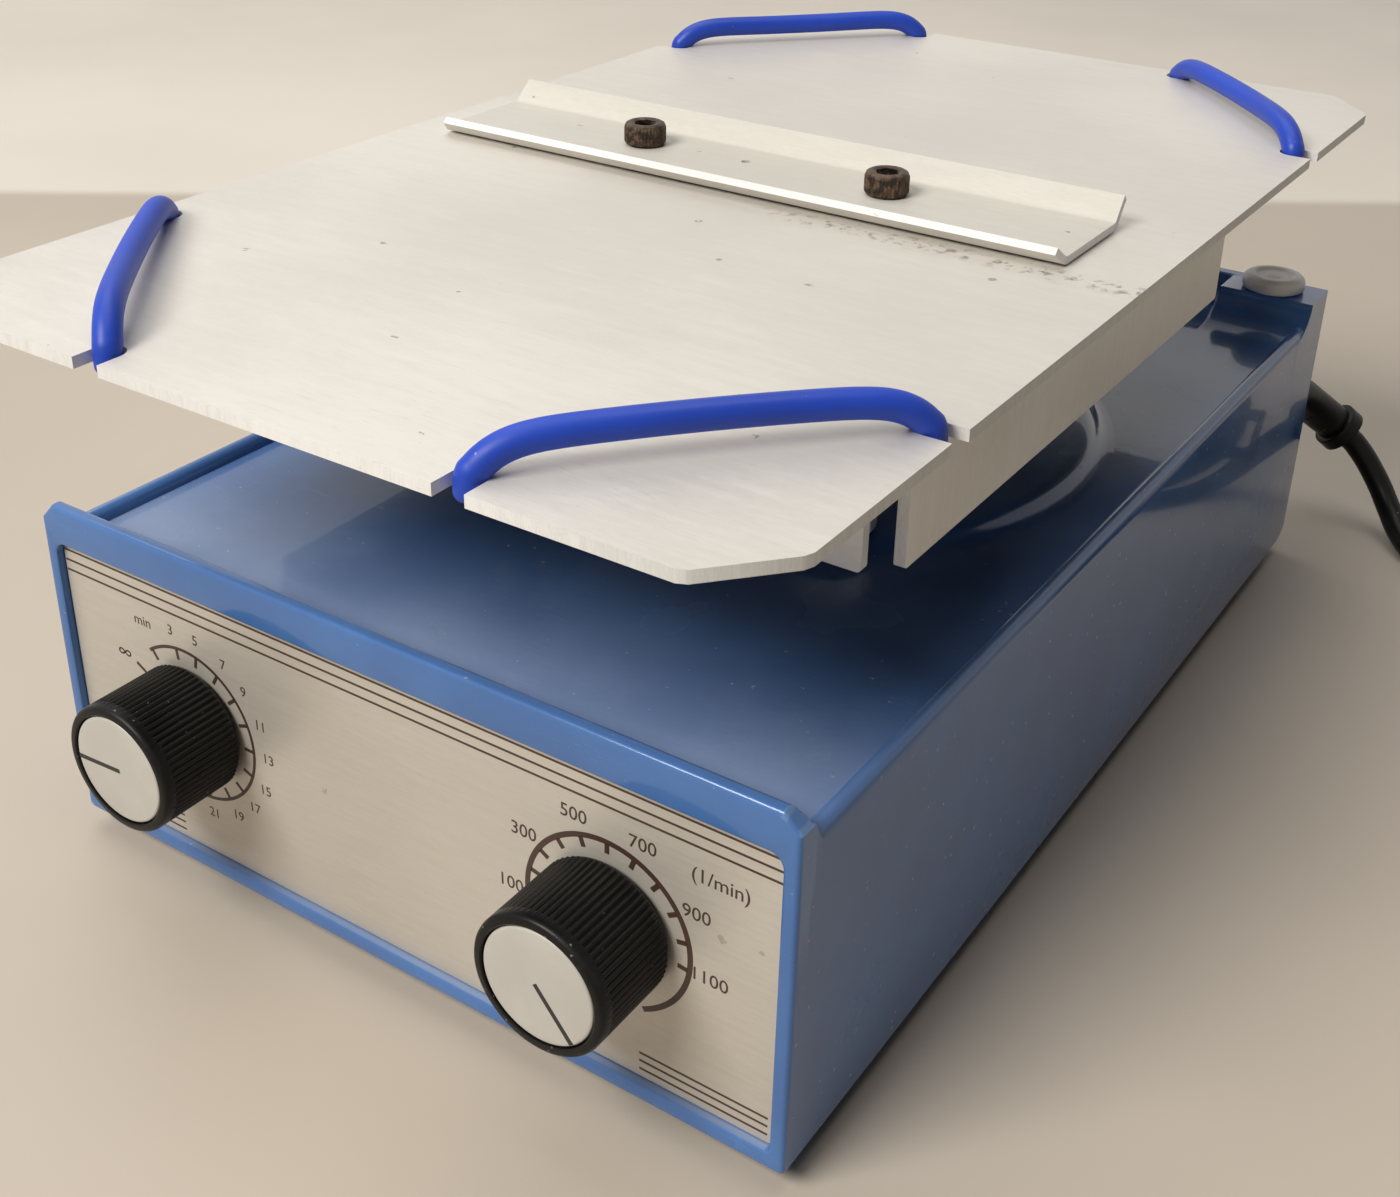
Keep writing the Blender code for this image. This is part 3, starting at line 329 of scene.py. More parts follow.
# tones of sheet metal: dark, light, scratch, grime
sheetTones = (0.62, 0.59, 0.545), (0.70, 0.67, 0.62), (0.40, 0.38, 0.34), (0.10, 0.075, 0.05)
barTones = (0.53, 0.505, 0.455), (0.61, 0.585, 0.535), (0.40, 0.38, 0.34), (0.10, 0.075, 0.05)
panTones = (0.76, 0.74, 0.70), (0.86, 0.84, 0.80), (0.52, 0.50, 0.46), (0.20, 0.17, 0.13)
edgeTones = (0.66, 0.655, 0.64), (0.84, 0.84, 0.82), (0.50, 0.48, 0.45), (0.22, 0.19, 0.15)
panelTones = (0.52, 0.48, 0.425), (0.61, 0.575, 0.51), (0.55, 0.52, 0.47), (0.30, 0.27, 0.22)
enamel = makeEnamel()
tableSheet = makeSheet("tableSheet", (1.0, 9.0, 9.0), sheetTones, (0.36, 0.50),
                       dirt={"y": 15.8, "wide": 4.5, "from": 2.0, "to": 22.0})
foldedSheet = makeSheet("foldedSheet", (1.0, 9.0, 1.0), panTones, (0.36, 0.50), metal=0.25)
barSheet = makeSheet("barSheet", (1.0, 9.0, 1.0), barTones, (0.50, 0.64), metal=0.06)
cutSheet = makeSheet("cutSheet", (9.0, 9.0, 1.0), edgeTones, (0.44, 0.58), metal=0.0)
lowerSheet = makeSheet("lowerSheet", (1.0, 9.0, 9.0), edgeTones, (0.24, 0.36), metal=0.9)
panelSheet = makeSheet("panelSheet", (1.0, 1.0, 22.0), panelTones, (0.34, 0.46))
innerSheet = makeSheet("innerSheet", (1.0, 6.0, 6.0), sheetTones, (0.40, 0.55))
ink = makePlain("scaleInk", ((0.050, 0.026, 0.018), (0.070, 0.038, 0.027), (0.06, 0.03, 0.02)),
                (0.45, 0.6), bump=(1500.0, 0.05))
pointerInk = makePlain("pointerInk",
                       ((0.010, 0.009, 0.009), (0.018, 0.016, 0.015), (0.02, 0.02, 0.02)),
                       (0.4, 0.55), bump=(1500.0, 0.05))
knobBlack = makePlain("knobBlack",
                      ((0.003, 0.0028, 0.0027), (0.006, 0.0057, 0.0054), (0.012, 0.012, 0.012)),
                      (0.30, 0.44), bump=(2200.0, 0.12), dust=0.03, shine=0.2)
discWhite = makePlain("discWhite", ((0.50, 0.485, 0.445), (0.56, 0.545, 0.50), (0.60, 0.585, 0.54)),
                      (0.34, 0.46), bump=(1600.0, 0.06), dust=0.004)
strapBlue = makePlain("strapBlue", ((0.010, 0.046, 0.39), (0.014, 0.060, 0.48), (0.02, 0.08, 0.54)),
                      (0.36, 0.52), bump=(700.0, 0.10), dust=0.006, shine=0.35)
rubberBlack = makePlain("rubberBlack",
                        ((0.003, 0.0028, 0.0026), (0.006, 0.0056, 0.0052), (0.01, 0.0095, 0.009)),
                        (0.30, 0.44), bump=(1100.0, 0.16), dust=0.008, shine=0.14)
turnedSteel = makePlain("turnedSteel", ((0.36, 0.36, 0.355), (0.46, 0.455, 0.45), (0.60, 0.60, 0.59)),
                        (0.26, 0.42), 1.0, (800.0, 0.10))
darkSteel = makePlain("darkSteel", ((0.045, 0.042, 0.040), (0.075, 0.070, 0.066), (0.16, 0.15, 0.14)),
                      (0.40, 0.58), 0.8, (700.0, 0.15))
bushBrass = makePlain("bushBrass", ((0.50, 0.34, 0.12), (0.62, 0.44, 0.17), (0.75, 0.58, 0.28)),
                      (0.28, 0.44), 1.0, (900.0, 0.10))
boardGreen = makePlain("boardGreen", ((0.02, 0.09, 0.035), (0.035, 0.13, 0.05), (0.10, 0.20, 0.10)),
                       (0.35, 0.5), bump=(500.0, 0.10), coat=0.3)
milkyCap = makeMilky()
rustedScrew = makeRust()


# mesh helpers
def placeMesh(name, mesh, finish, body, replaced=(), angle=38.0):
    mesh.materials.clear()
    mesh.materials.append(finish)
    mesh.shade_smooth()
    mesh.set_sharp_from_angle(angle=math.radians(angle))
    piece = addObject(name, mesh)
    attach(piece, body)
    if replaced:
        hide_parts(*replaced)
    return piece


def meshFrom(name, bm):
    mesh = bpy.data.meshes.new(name)
    bm.to_mesh(mesh)
    bm.free()
    return mesh


def placeBmesh(name, bm, finish, body, replaced=(), angle=38.0):
    bmesh.ops.recalc_face_normals(bm, faces=bm.faces)
    bmesh.ops.scale(bm, vec=(mm, mm, mm), verts=bm.verts)
    return placeMesh(name, meshFrom(name, bm), finish, body, replaced, angle)


def shownMesh(piece):
    # the piece as it is drawn, with its modifiers or letters made into a mesh
    bpy.context.view_layer.update()
    return bpy.data.meshes.new_from_object(piece.evaluated_get(bpy.context.evaluated_depsgraph_get()))


def addSkin(bm, rings, capped=True):
    loops = [[bm.verts.new(point) for point in ring] for ring in rings]
    count = len(loops[0])
    for low, high in zip(loops, loops[1:]):
        for i in range(count):
            j = (i + 1) % count
            bm.faces.new((low[i], low[j], high[j], high[i]))
    if capped:
        bm.faces.new(loops[0])
        bm.faces.new(loops[-1])
    return loops


def roundRing(radius, height, count):
    step = math.tau / count
    return [Vector((radius * math.cos(i * step), radius * math.sin(i * step), height)) for i in range(count)]


def ribbedRing(radius, height, count, dips):
    # a ring drawn in by these depths, one after the other and around again
    ring = []
    for i, p in enumerate(roundRing(1.0, height, count)):
        reach = radius - dips[i % len(dips)]
        ring.append(Vector((p.x * reach, p.y * reach, height)))
    return ring


def turnedRings(profile, count):
    return [roundRing(r, h, count) for r, h in profile]


def addPlaced(bm, rings, matrix):
    addSkin(bm, [[matrix @ p for p in ring] for ring in rings])


def addTurned(bm, profile, count, matrix):
    addPlaced(bm, turnedRings(profile, count), matrix)


def placeRings(name, rings, matrix, finish, body, replaced=(), angle=38.0):
    bm = bmesh.new()
    addPlaced(bm, rings, matrix)
    return placeBmesh(name, bm, finish, body, replaced, angle)


def facing(place):
    # turned pieces on the front panel: their axis points forwards
    return Matrix.Translation(Vector(place)) @ Matrix.Rotation(math.radians(90), 4, "X")


def arcPoints(centre, radius, start, end, steps):
    angles = [math.radians(start + (end - start) * i / steps) for i in range(steps + 1)]
    return [(centre[0] + radius * math.cos(a), centre[1] + radius * math.sin(a)) for a in angles]


def softRect(half, low, high, radii, steps=8):
    # upright rectangle with its own rounding for the lower and the upper corners
    lower, upper = radii
    points = arcPoints((half - lower, low + lower), lower, -90, 0, steps)
    points += arcPoints((half - upper, high - upper), upper, 0, 90, steps)
    points += arcPoints((-half + upper, high - upper), upper, 90, 180, steps)
    return points + arcPoints((-half + lower, low + lower), lower, 180, 270, steps)


def smoothLine(knots, steps):
    # curve through all knots, with evenly many points in each stretch
    ends = [2 * knots[0] - knots[1]] + list(knots) + [2 * knots[-1] - knots[-2]]
    points = []
    for a, b, c, d in zip(ends, ends[1:], ends[2:], ends[3:]):
        for i in range(steps):
            t = i / steps
            points.append(0.5 * (2 * b + (c - a) * t + (2 * a - 5 * b + 4 * c - d) * t * t
                                 + (3 * b - a - 3 * c + d) * t ** 3))
    return points + [knots[-1]]


def addSwept(bm, line, radii, count):
    # round sections along a bent line, turned with it and never twisted
    side = None
    rings = []
    for i, (point, radius) in enumerate(zip(line, radii)):
        ahead = (line[min(i + 1, len(line) - 1)] - line[max(i - 1, 0)]).normalized()
        if side is None:
            side = ahead.orthogonal().normalized()
        side = (side - ahead * side.dot(ahead)).normalized()
        other = ahead.cross(side)
        rings.append([point + radius * (p.x * side + p.y * other) for p in roundRing(1.0, 0.0, count)])
    addSkin(bm, rings)


def blendLevel(points, at):
    if at <= points[0][0]:
        return points[0][1]
    for (x0, y0), (x1, y1) in zip(points, points[1:]):
        if at <= x1:
            return y0 + (y1 - y0) * (at - x0) / (x1 - x0)
    return points[-1][1]


# mains lead: it leaves the rear wall, drops to the floor and is coiled out of view
lead = {"radius": 3.0, "corner": (80.0, 131.5), "floor": 3.05, "coil": (154.0, 181.5), "coilRadius": 46.0,
        "pitch": 6.6, "turnsIn": 3.0, "turnsOut": 2.5, "coilLow": 3.9, "perTurn": 24, "length": 1.463,
        "run": ((15.6, 26.0, 10.9), (20.3, 22.7, 5.7), (25.0, 17.9, 1.9), (30.5, 12.7, 0.2), (40.6, 6.7, 0.0),
                (52.0, 4.2, 0.3)),
        "tail": ((27.0, 0.3, 1.0), (43.7, 3.9, 3.0), (53.2, 13.4, 5.6)),
        "sleeve": ((0, -4.2, 0), (0, 0.6, 0), (0.1, 4.4, -0.5), (1.0, 11.6, -3.2), (3.0, 17.9, -7.4),
                   (6.8, 22.8, -12.1), (9.3, 24.7, -14.5), (12.0, 26.1, -17.0), (12.8, 26.3, -17.7)),
        "sleeveShape": ((0.0, 5.2), (4.7, 5.2), (4.9, 4.9), (24.0, 4.85), (34.6, 4.75), (34.7, 6.0), (34.9, 6.15),
                        (38.3, 6.15), (38.6, 5.95), (38.7, 4.4), (39.6, 3.7)),
        "sleeveRoot": (73.0, 131.5, 42.0), "plugOut": 63.0, "plugBack": -12.0, "plugRadius": 18.5}


def plugPlace():
    coilX, coilY = lead["coil"]
    return Vector((coilX + lead["plugOut"], coilY + lead["plugBack"], lead["plugRadius"] + 0.1))


def leadRoute():
    root = Vector(lead["sleeveRoot"])
    last, tip = (root + Vector(p) for p in lead["sleeve"][-2:])
    leave = (tip - last).normalized()
    corner = Vector((*lead["corner"], lead["floor"]))
    coilX, coilY = lead["coil"]
    wide = lead["radius"] * 2
    coilStart = Vector((coilX - wide, coilY - lead["coilRadius"], lead["coilLow"]))
    run = [root + Vector(lead["sleeve"][-3]), tip + leave * 0.3, tip + leave * (lead["radius"] + 0.3)]
    run += [corner + Vector(p) for p in lead["run"]] + [coilStart - Vector((wide, 0, 0))]
    coil = [coilStart]
    turnBack = lead["turnsIn"] + 0.25
    for i in range(round((lead["turnsIn"] + 0.5 + lead["turnsOut"]) * lead["perTurn"]) + 1):
        turns = i / lead["perTurn"]
        radius = lead["coilRadius"] - lead["pitch"] * (min(turns, turnBack) - max(0.0, turns - turnBack))
        climb = min(1.0, max(0.0, (turns - lead["turnsIn"]) / 0.5))
        angle = math.tau * turns - math.pi / 2
        coil.append(Vector((coilX + radius * math.cos(angle), coilY + radius * math.sin(angle),
                            lead["coilLow"] + lead["pitch"] * climb * climb * (3 - 2 * climb))))
    coilEnd = coil[-1] + Vector((wide, 0, 0))
    plugBack = plugPlace()
    tail = [coilEnd, coilEnd + Vector((wide, 0, 0))] + [coilEnd + Vector(p) for p in lead["tail"]]
    tail += [plugBack - Vector((0.4, wide * 1.5, 0.4)), plugBack, plugBack + Vector((0, 3.0, 0))]
    return run + coil + tail


def makeLead():
    curve = bpy.data.curves.new("mainsLead", "CURVE")
    curve.dimensions = "3D"
    curve.bevel_depth = lead["radius"] * mm
    curve.bevel_resolution = 6
    curve.resolution_u = 6
    curve.use_fill_caps = True
    route = leadRoute()
    spline = curve.splines.new("BEZIER")
    spline.bezier_points.add(len(route) - 1)
    for knot, point in zip(spline.bezier_points, route):
        knot.co = point * mm
        knot.handle_left_type = "AUTO"
        knot.handle_right_type = "AUTO"
    curve.materials.append(rubberBlack)
    piece = addObject("mainsLead", curve)
    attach(piece, "housing_body")
    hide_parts("cord_run", "cord_coil", "cord_tail")
    return piece


def makeSleeve():
    # bend protection: a bush in the wall, a plain neck that thins out and a stepped collar at its end
    root = Vector(lead["sleeveRoot"])
    shape = lead["sleeveShape"]
    end = shape[-1][0]
    line = smoothLine([root + Vector(p) for p in lead["sleeve"]], 6)
    line = [p for i, p in enumerate(line) if i == 0 or (p - line[i - 1]).length > 0.05]
    spots, radii = [], []
    lengths = [0.0]
    for before, after in zip(line, line[1:]):
        lengths.append(lengths[-1] + (after - before).length)
    whole = lengths[-1] / end
    for at in sorted({at for at, radius in shape} | {end * i / 30 for i in range(31)}):
        i = max(k for k in range(len(line) - 1) if lengths[k] <= at * whole + 1e-6)
        t = (at * whole - lengths[i]) / (lengths[i + 1] - lengths[i])
        spots.append(line[i].lerp(line[i + 1], min(1.0, t)))
        radii.append(blendLevel(shape, at))
    bm = bmesh.new()
    addSwept(bm, spots, radii, 32)
    placeBmesh("leadSleeve", bm, rubberBlack, "housing_body", ("cord_sleeve",), 50.0)


def makePlug():
    grip = {"neck": 16.0, "length": 34.0, "ribs": 40, "ribDepth": 0.5}
    matrix = Matrix.Translation(plugPlace()) @ Matrix.Rotation(math.radians(-90), 4, "X")
    neck, radius, end = grip["neck"], lead["plugRadius"], grip["neck"] + grip["length"]
    profile = [(3.2, 0.0), (4.1, 0.0), (4.4, 0.6)]
    for i in range(5):
        at = 1.6 + i * 2.4
        profile += [(4.5 + 0.08 * i, at), (4.0, at + 0.5), (4.0, at + 1.0), (4.6 + 0.08 * i, at + 1.5)]
    profile += [(6.2, neck - 1.2), (9.2, neck + 0.4), (12.4, neck + 3.6), (15.4, neck + 8.0), (17.4, neck + 11.2),
                (radius - 0.3, neck + 14.0)]
    count = grip["ribs"] * 4
    rings = turnedRings(profile, count)
    deep = grip["ribDepth"]
    for height, dip in ((neck + 15.0, 0.0), (neck + 16.0, deep), (end - 14.0, deep), (end - 13.0, 0.0)):
        rings.append(ribbedRing(radius, height, count, (0.0, dip, dip, 0.0)))
    face = ((radius, end - 12.0), (radius, end - 1.0), (radius - 0.4, end - 0.3), (radius - 1.2, end),
            (radius - 3.0, end), (radius - 3.2, end - 0.4))
    rings += turnedRings(face, count)
    return placeRings("leadPlug", rings, matrix, rubberBlack, "housing_body", ("plug_body",), 32.0)


mainsLead = makeLead()
makeSleeve()
leadPlug = makePlug()
print("mains lead laid")

# housing: a die-cast box with a sunk deck, a front lip, rolled side beads and raised rear corners
casting = {"half": 80.0, "front": -118.5, "depth": 250.0, "low": 4.0, "deck": 64.0, "top": 72.0, "round": 0.9,
           "bead": (3.6, 2.6), "chamfer": 3.1, "boss": (23.0, 13.0), "cove": 12.0, "rim": 4.0, "rearFillet": 5.0,
           "lip": ((0.0, 8.0), (1.9, 8.0), (2.35, 7.85), (2.75, 7.45), (3.3, 6.45), (4.0, 4.85), (4.8, 3.15),
                   (5.6, 1.8), (6.5, 0.8), (7.4, 0.25), (8.6, 0.0)),
           "recess": (77.2, 7.5, 64.3), "recessRound": (1.1, 2.4), "recessDeep": 2.6,
           "recessEdge": ((0.5, 0.0), (0.28, 0.06), (0.12, 0.18), (0.0, 0.5)),
           "wall": 4.0, "frontWall": 5.0, "endWalls": 9.5, "ceiling": 60.0}
turret = {"y": 11.5, "profile": ((11.0, -3.0), (69.5, -3.0), (69.5, -0.04), (68.6, 0.02), (67.6, 0.12), (66.6, 0.36),
                                 (65.7, 0.82), (64.9, 1.40), (64.2, 1.90), (63.4, 2.25), (62.5, 2.44), (61.4, 2.5),
                                 (40.0, 2.5), (11.0, 2.5))}


def castingLevel(x, y):
    side = casting["half"] - abs(x)
    rise = casting["top"] - casting["deck"]
    width, height = casting["bead"]
    level = 0.0
    if side < width:
        level = height * math.sqrt(max(0.0, 1 - ((side - width / 2) / (width / 2)) ** 2))
    level = max(level, blendLevel(casting["lip"], y))
    coveStart = casting["depth"] - casting["boss"][1] - casting["cove"]
    if y > coveStart:
        t = min(1.0, (y - coveStart) / casting["cove"])
        cove = rise * (1 - math.sqrt(1 - t * t))
        edge = casting["boss"][0] - side
        flank = blendLevel(((-0.5, 0.0), (-0.3, 0.45), (0.0, 0.8), (0.5, 0.96), (1.1, 1.0)), edge)
        level = max(level, cove * flank)
    rear = y - casting["depth"] + casting["rim"]
    level = max(level, rise * blendLevel(((-0.5, 0.0), (-0.3, 0.45), (0.0, 0.8), (0.4, 0.96), (0.9, 1.0)), rear))
    if y <= casting["lip"][-1][0]:
        level = min(level, rise - max(0.0, casting["chamfer"] - side))
    return casting["deck"] + level


def castingLow(y):
    radius = casting["rearFillet"]
    t = max(0.0, y - casting["depth"] + radius)
    return casting["low"] + radius - math.sqrt(max(0.0, radius * radius - t * t))


def castingColumns():
    half, width = casting["half"], casting["bead"][0]
    boss = half - casting["boss"][0]
    columns = [half - width * (0.5 - 0.5 * math.cos(math.pi * i / 14)) for i in range(15)]
    columns += [half - casting["chamfer"], half - 5.0, half - 9.0, boss + 6.0]
    columns += [boss + d for d in (1.1, 0.5, 0.25, 0.0, -0.15, -0.3, -0.4, -0.5)] + [boss - 12.0, boss - 30.0]
    columns = sorted(columns)
    return [-x for x in reversed(columns)] + columns


def castingSection(y, inset, columns):
    # closed outline across the casting at one depth, drawn in by the rounding of its end
    half = casting["half"] - inset
    low = castingLow(y) + inset
    soft = casting["round"]
    top = [(max(-half, min(half, x)), castingLevel(x, y) - inset) for x in columns]
    drop = top[-1][1]
    points = top + [(half, drop + (low + soft - drop) * t) for t in (0.25, 0.5, 0.75)]
    points += arcPoints((half - soft, low + soft), soft, 0, -90, 5)
    points += arcPoints((-half + soft, low + soft), soft, -90, -180, 5)
    points += [(-half, low + soft + (drop - low - soft) * t) for t in (0.25, 0.5, 0.75)]
    return [Vector((x, casting["front"] + y, z)) for x, z in points]


def castingRows():
    soft = casting["round"]
    depth = casting["depth"]
    coveStart = depth - casting["boss"][1] - casting["cove"]
    ends = [(soft * (1 - math.cos(a)), soft * (1 - math.sin(a))) for a in (math.radians(15 * i) for i in range(7))]
    rows = list(ends)
    rows += [(y, 0.0) for y, height in casting["lip"] if y > soft + 0.2] + [(10.0, 0.0), (18.0, 0.0)]
    rows += [(18.0 + (coveStart - 18.0) * i / 9, 0.0) for i in range(1, 9)]
    rows += [(coveStart + casting["cove"] * math.sin(math.pi / 2 * i / 14), 0.0) for i in range(15)]
    rows += [(depth - 9.0, 0.0)]
    rows += [(depth - casting["rim"] + d, 0.0) for d in (-0.5, -0.4, -0.3, -0.15, 0.0, 0.2, 0.4, 0.9)]
    rows += [(depth - casting["rearFillet"] * (1 - math.sin(math.pi / 2 * i / 10)), 0.0) for i in range(3, 8)]
    rows += [(depth - y, inset) for y, inset in reversed(ends)]
    return sorted(rows)


def looseObject(bm):
    bmesh.ops.recalc_face_normals(bm, faces=bm.faces)
    return addObject("loose", meshFrom("loose", bm))


def cutSolid(bm, cutters):
    # the solid in bm less its cutters, as a new mesh
    piece = looseObject(bm)
    for cutter in cutters:
        step = piece.modifiers.new("cut", "BOOLEAN")
        step.operation = "DIFFERENCE"
        step.solver = "EXACT"
        step.object = looseObject(cutter)
    made = shownMesh(piece)
    for loose in [step.object for step in piece.modifiers] + [piece]:
        bpy.data.objects.remove(loose, do_unlink=True)
    return made


def placeCut(name, bm, cutters, finish, body, replaced):
    mesh = cutSolid(bm, cutters)
    mesh.name = name
    mesh.transform(Matrix.Scale(mm, 4))
    return placeMesh(name, mesh, finish, body, replaced, 30.0)


# bores: radius and places of those for the drive bearing, the guide cranks and the control bushes
bores = {"drive": (11.3, 1.5), "crank": (4.4, (-36.0, 36.0), (-34.5, 37.5)), "levels": (50.0, 70.0),
         "control": (5.0, (-46.0, 46.0), (-117.0, 36.7)), "panel": (-8.0, 0.2)}


def shaftHoles():
    bm = bmesh.new()
    radius, y = bores["drive"]
    addTurned(bm, [(radius, z) for z in bores["levels"]], 48, Matrix.Translation((0, y, 0)))
    radius, across, along = bores["crank"]
    for x in across:
        for y in along:
            addTurned(bm, [(radius, z) for z in bores["levels"]], 32, Matrix.Translation((x, y, 0)))
    radius, across, place = bores["control"]
    for x in across:
        addTurned(bm, [(radius, deep) for deep in bores["panel"]], 32, facing((x, *place)))
    return bm


def makeCasting():
    bm = bmesh.new()
    columns = castingColumns()
    rings = [castingSection(y, inset, columns) for y, inset in castingRows()]
    loops = addSkin(bm, rings, capped=False)
    bm.faces.new(loops[-1])
    half, low, high = casting["recess"]
    front = casting["front"]
    frames = []
    for out, deep in (*casting["recessEdge"], (0.0, casting["recessDeep"])):
        outline = softRect(half + out, low - out, high + out, [r + out for r in casting["recessRound"]])
        frames.append([Vector((x, front + deep, z)) for x, z in outline])
    inner = addSkin(bm, frames, capped=False)
    bm.faces.new(inner[-1])
    rimEdges = [bm.edges.get((loop[i], loop[(i + 1) % len(loop)])) for loop in (loops[0], inner[0])
                for i in range(len(loop))]
    bmesh.ops.triangle_fill(bm, use_beauty=True, use_dissolve=False, edges=rimEdges)
    wall = casting["wall"]
    hollow = bmesh.new()
    size = Vector((2 * (casting["half"] - wall), casting["depth"] - casting["endWalls"], casting["ceiling"] + 1.0))
    middle = Vector((0, front + casting["frontWall"] + size.y / 2, size.z / 2 - 1.0))
    bmesh.ops.create_cube(hollow, size=1.0, matrix=Matrix.Translation(middle) @ Matrix.Diagonal((*size, 1.0)))
    shell = cutSolid(bm, [hollow, shaftHoles()])
    raised = bmesh.new()
    profile = [(r, casting["deck"] + h) for r, h in turret["profile"]]
    addTurned(raised, profile, 128, Matrix.Translation((0, turret["y"], 0)))
    whole = bmesh.new()
    whole.from_mesh(shell)
    whole.from_mesh(cutSolid(raised, [shaftHoles()]))
    bmesh.ops.scale(whole, vec=(mm, mm, mm), verts=whole.verts)
    placeMesh("housingCasting", meshFrom("housingCasting", whole), enamel, "housing_body", ("housing",), 32.0)


makeCasting()
print("housing cast")

# front panel: a brushed sheet in the recess, with long stripes above, short ones below at each side, and two scales
panel = {"face": -117.0, "thick": 0.8, "clearance": 0.3, "proud": 0.03, "stripe": 0.42, "upper": (62.6, 60.5, 58.4),
         "upperEnds": ((-76.7, 76.7),), "lower": (12.7, 11.1, 9.4), "lowerEnds": ((-76.0, -53.0), (52.0, 76.0))}
speedScale = {"centre": (45.7, 36.1), "radius": 15.6, "thick": 1.0, "from": 190.0, "to": -63.5,
              "ticks": [186.0 - i * 19.3 for i in range(11)], "loose": (), "tickIn": 1.7, "tickWide": 0.9,
              "textRadius": 19.1, "textSize": 3.5, "weight": 0.003,
              "numbers": (("100", 184.0), ("300", 147.6), ("500", 109.0), ("700", 69.5), ("900", 30.2),
                          ("1100", -5.2)), "unit": ("(1/min)", 66.3, 53.2, 3.6), "endless": None}
timerScale = {"centre": (-47.0, 35.9), "radius": 15.5, "thick": 0.65, "from": 127.0, "to": -92.0,
              "ticks": (124.0, 97.5, 78.6, 58.6, 39.2, 20.1, 0.0, -21.4, -41.8, -60.5, -81.4),
              "loose": (149.0, 172.0), "tickIn": 2.0, "tickWide": 0.7, "textRadius": 19.0, "textSize": 2.9,
              "weight": 0.002,
              "numbers": (("3", 99.2), ("5", 80.1), ("7", 58.6), ("9", 40.5), ("11", 20.1), ("13", -0.5),
                          ("15", -23.2), ("17", -42.2), ("19", -60.5), ("21", -81.4)),
              "unit": ("min", -57.4, 53.9, 3.0), "endless": (151.0, 1.5)}


def makePanel():
    gap = panel["clearance"]
    half, low, high = casting["recess"]
    outline = softRect(half - gap, low + gap, high - gap, [r - gap for r in casting["recessRound"]])
    bm = bmesh.new()
    addSkin(bm, [[Vector((x, panel["face"] + deep, z)) for x, z in outline] for deep in (0.0, panel["thick"])])
    placeCut("frontPanel", bm, [shaftHoles()], panelSheet, "housing_body", ("front_panel",))


def addPrint(bm, outline):
    # a thin printed patch standing just proud of the panel
    face, proud = panel["face"], panel["proud"]
    addSkin(bm, [[Vector((x, y, z)) for x, z in outline] for y in (face + 0.05, face - proud)])


def addBand(bm, centre, inner, outer, start, end):
    steps = max(2, round(abs(start - end) / 3))
    addPrint(bm, arcPoints(centre, outer, start, end, steps) + arcPoints(centre, inner, end, start, steps))


def addTick(bm, centre, angle, inner, outer, wide):
    a = math.radians(angle)
    along = Vector((math.cos(a), math.sin(a)))
    across = Vector((-along.y, along.x)) * wide / 2
    middle = Vector(centre)
    corners = ((inner, 1), (outer, 1), (outer, -1), (inner, -1))
    addPrint(bm, [tuple(middle + along * r + across * s) for r, s in corners])


def addText(bm, words, x, z, size, weight):
    letters = bpy.data.curves.new("letters", "FONT")
    letters.body = words
    letters.size = size
    letters.align_x = "CENTER"
    letters.align_y = "CENTER"
    letters.extrude = panel["proud"]
    letters.offset = weight * size
    letters.resolution_u = 4
    holder = addObject("letters", letters)
    mesh = shownMesh(holder)
    mesh.transform(facing((x, panel["face"], z)))
    bm.from_mesh(mesh)
    bpy.data.objects.remove(holder, do_unlink=True)


def addEndless(bm, x, z, size):
    # the sign for running without end, drawn as a lying eight
    middle = []
    for i in range(49):
        t = math.tau * i / 48
        k = 1 + math.sin(t) ** 2
        middle.append(Vector((x + size * math.cos(t) / k, z + size * math.sin(t) * math.cos(t) / k)))
    for i in range(48):
        along = (middle[i + 1] - middle[i]).normalized() * 0.03
        across = Vector((-along.y, along.x)).normalized() * 0.16
        a, b = middle[i] - along, middle[i + 1] + along
        addPrint(bm, [tuple(p) for p in (a + across, b + across, b - across, a - across)])


def makeStripes():
    bm = bmesh.new()
    wide = panel["stripe"] / 2
    for group in ("upper", "lower"):
        for z in panel[group]:
            for low, high in panel[group + "Ends"]:
                addPrint(bm, [(low, z - wide), (high, z - wide), (high, z + wide), (low, z + wide)])
    placeBmesh("panelStripes", bm, ink, "housing_body")


def textSpot(scale, angle):
    (x, z), reach, a = scale["centre"], scale["textRadius"], math.radians(angle)
    return x + reach * math.cos(a), z + reach * math.sin(a)


def makeScale(name, scale):
    # a ring with ticks inside it, ticks that stand alone, numbers and a unit
    bm = bmesh.new()
    centre = scale["centre"]
    inner, outer = (scale["radius"] + side * scale["thick"] / 2 for side in (-1, 1))
    addBand(bm, centre, inner, outer, scale["from"], scale["to"])
    for angles, tip in ((scale["ticks"], inner + 0.1), (scale["loose"], outer)):
        for angle in angles:
            addTick(bm, centre, angle, inner - scale["tickIn"], tip, scale["tickWide"])
    for words, angle in scale["numbers"]:
        addText(bm, words, *textSpot(scale, angle), scale["textSize"], scale["weight"])
    addText(bm, *scale["unit"], scale["weight"])
    if scale["endless"]:
        angle, size = scale["endless"]
        addEndless(bm, *textSpot(scale, angle), size)
    placeBmesh(name, bm, ink, "housing_body")


makePanel()
makeStripes()
makeScale("speedScale", speedScale)
makeScale("timerScale", timerScale)
print("panel printed")

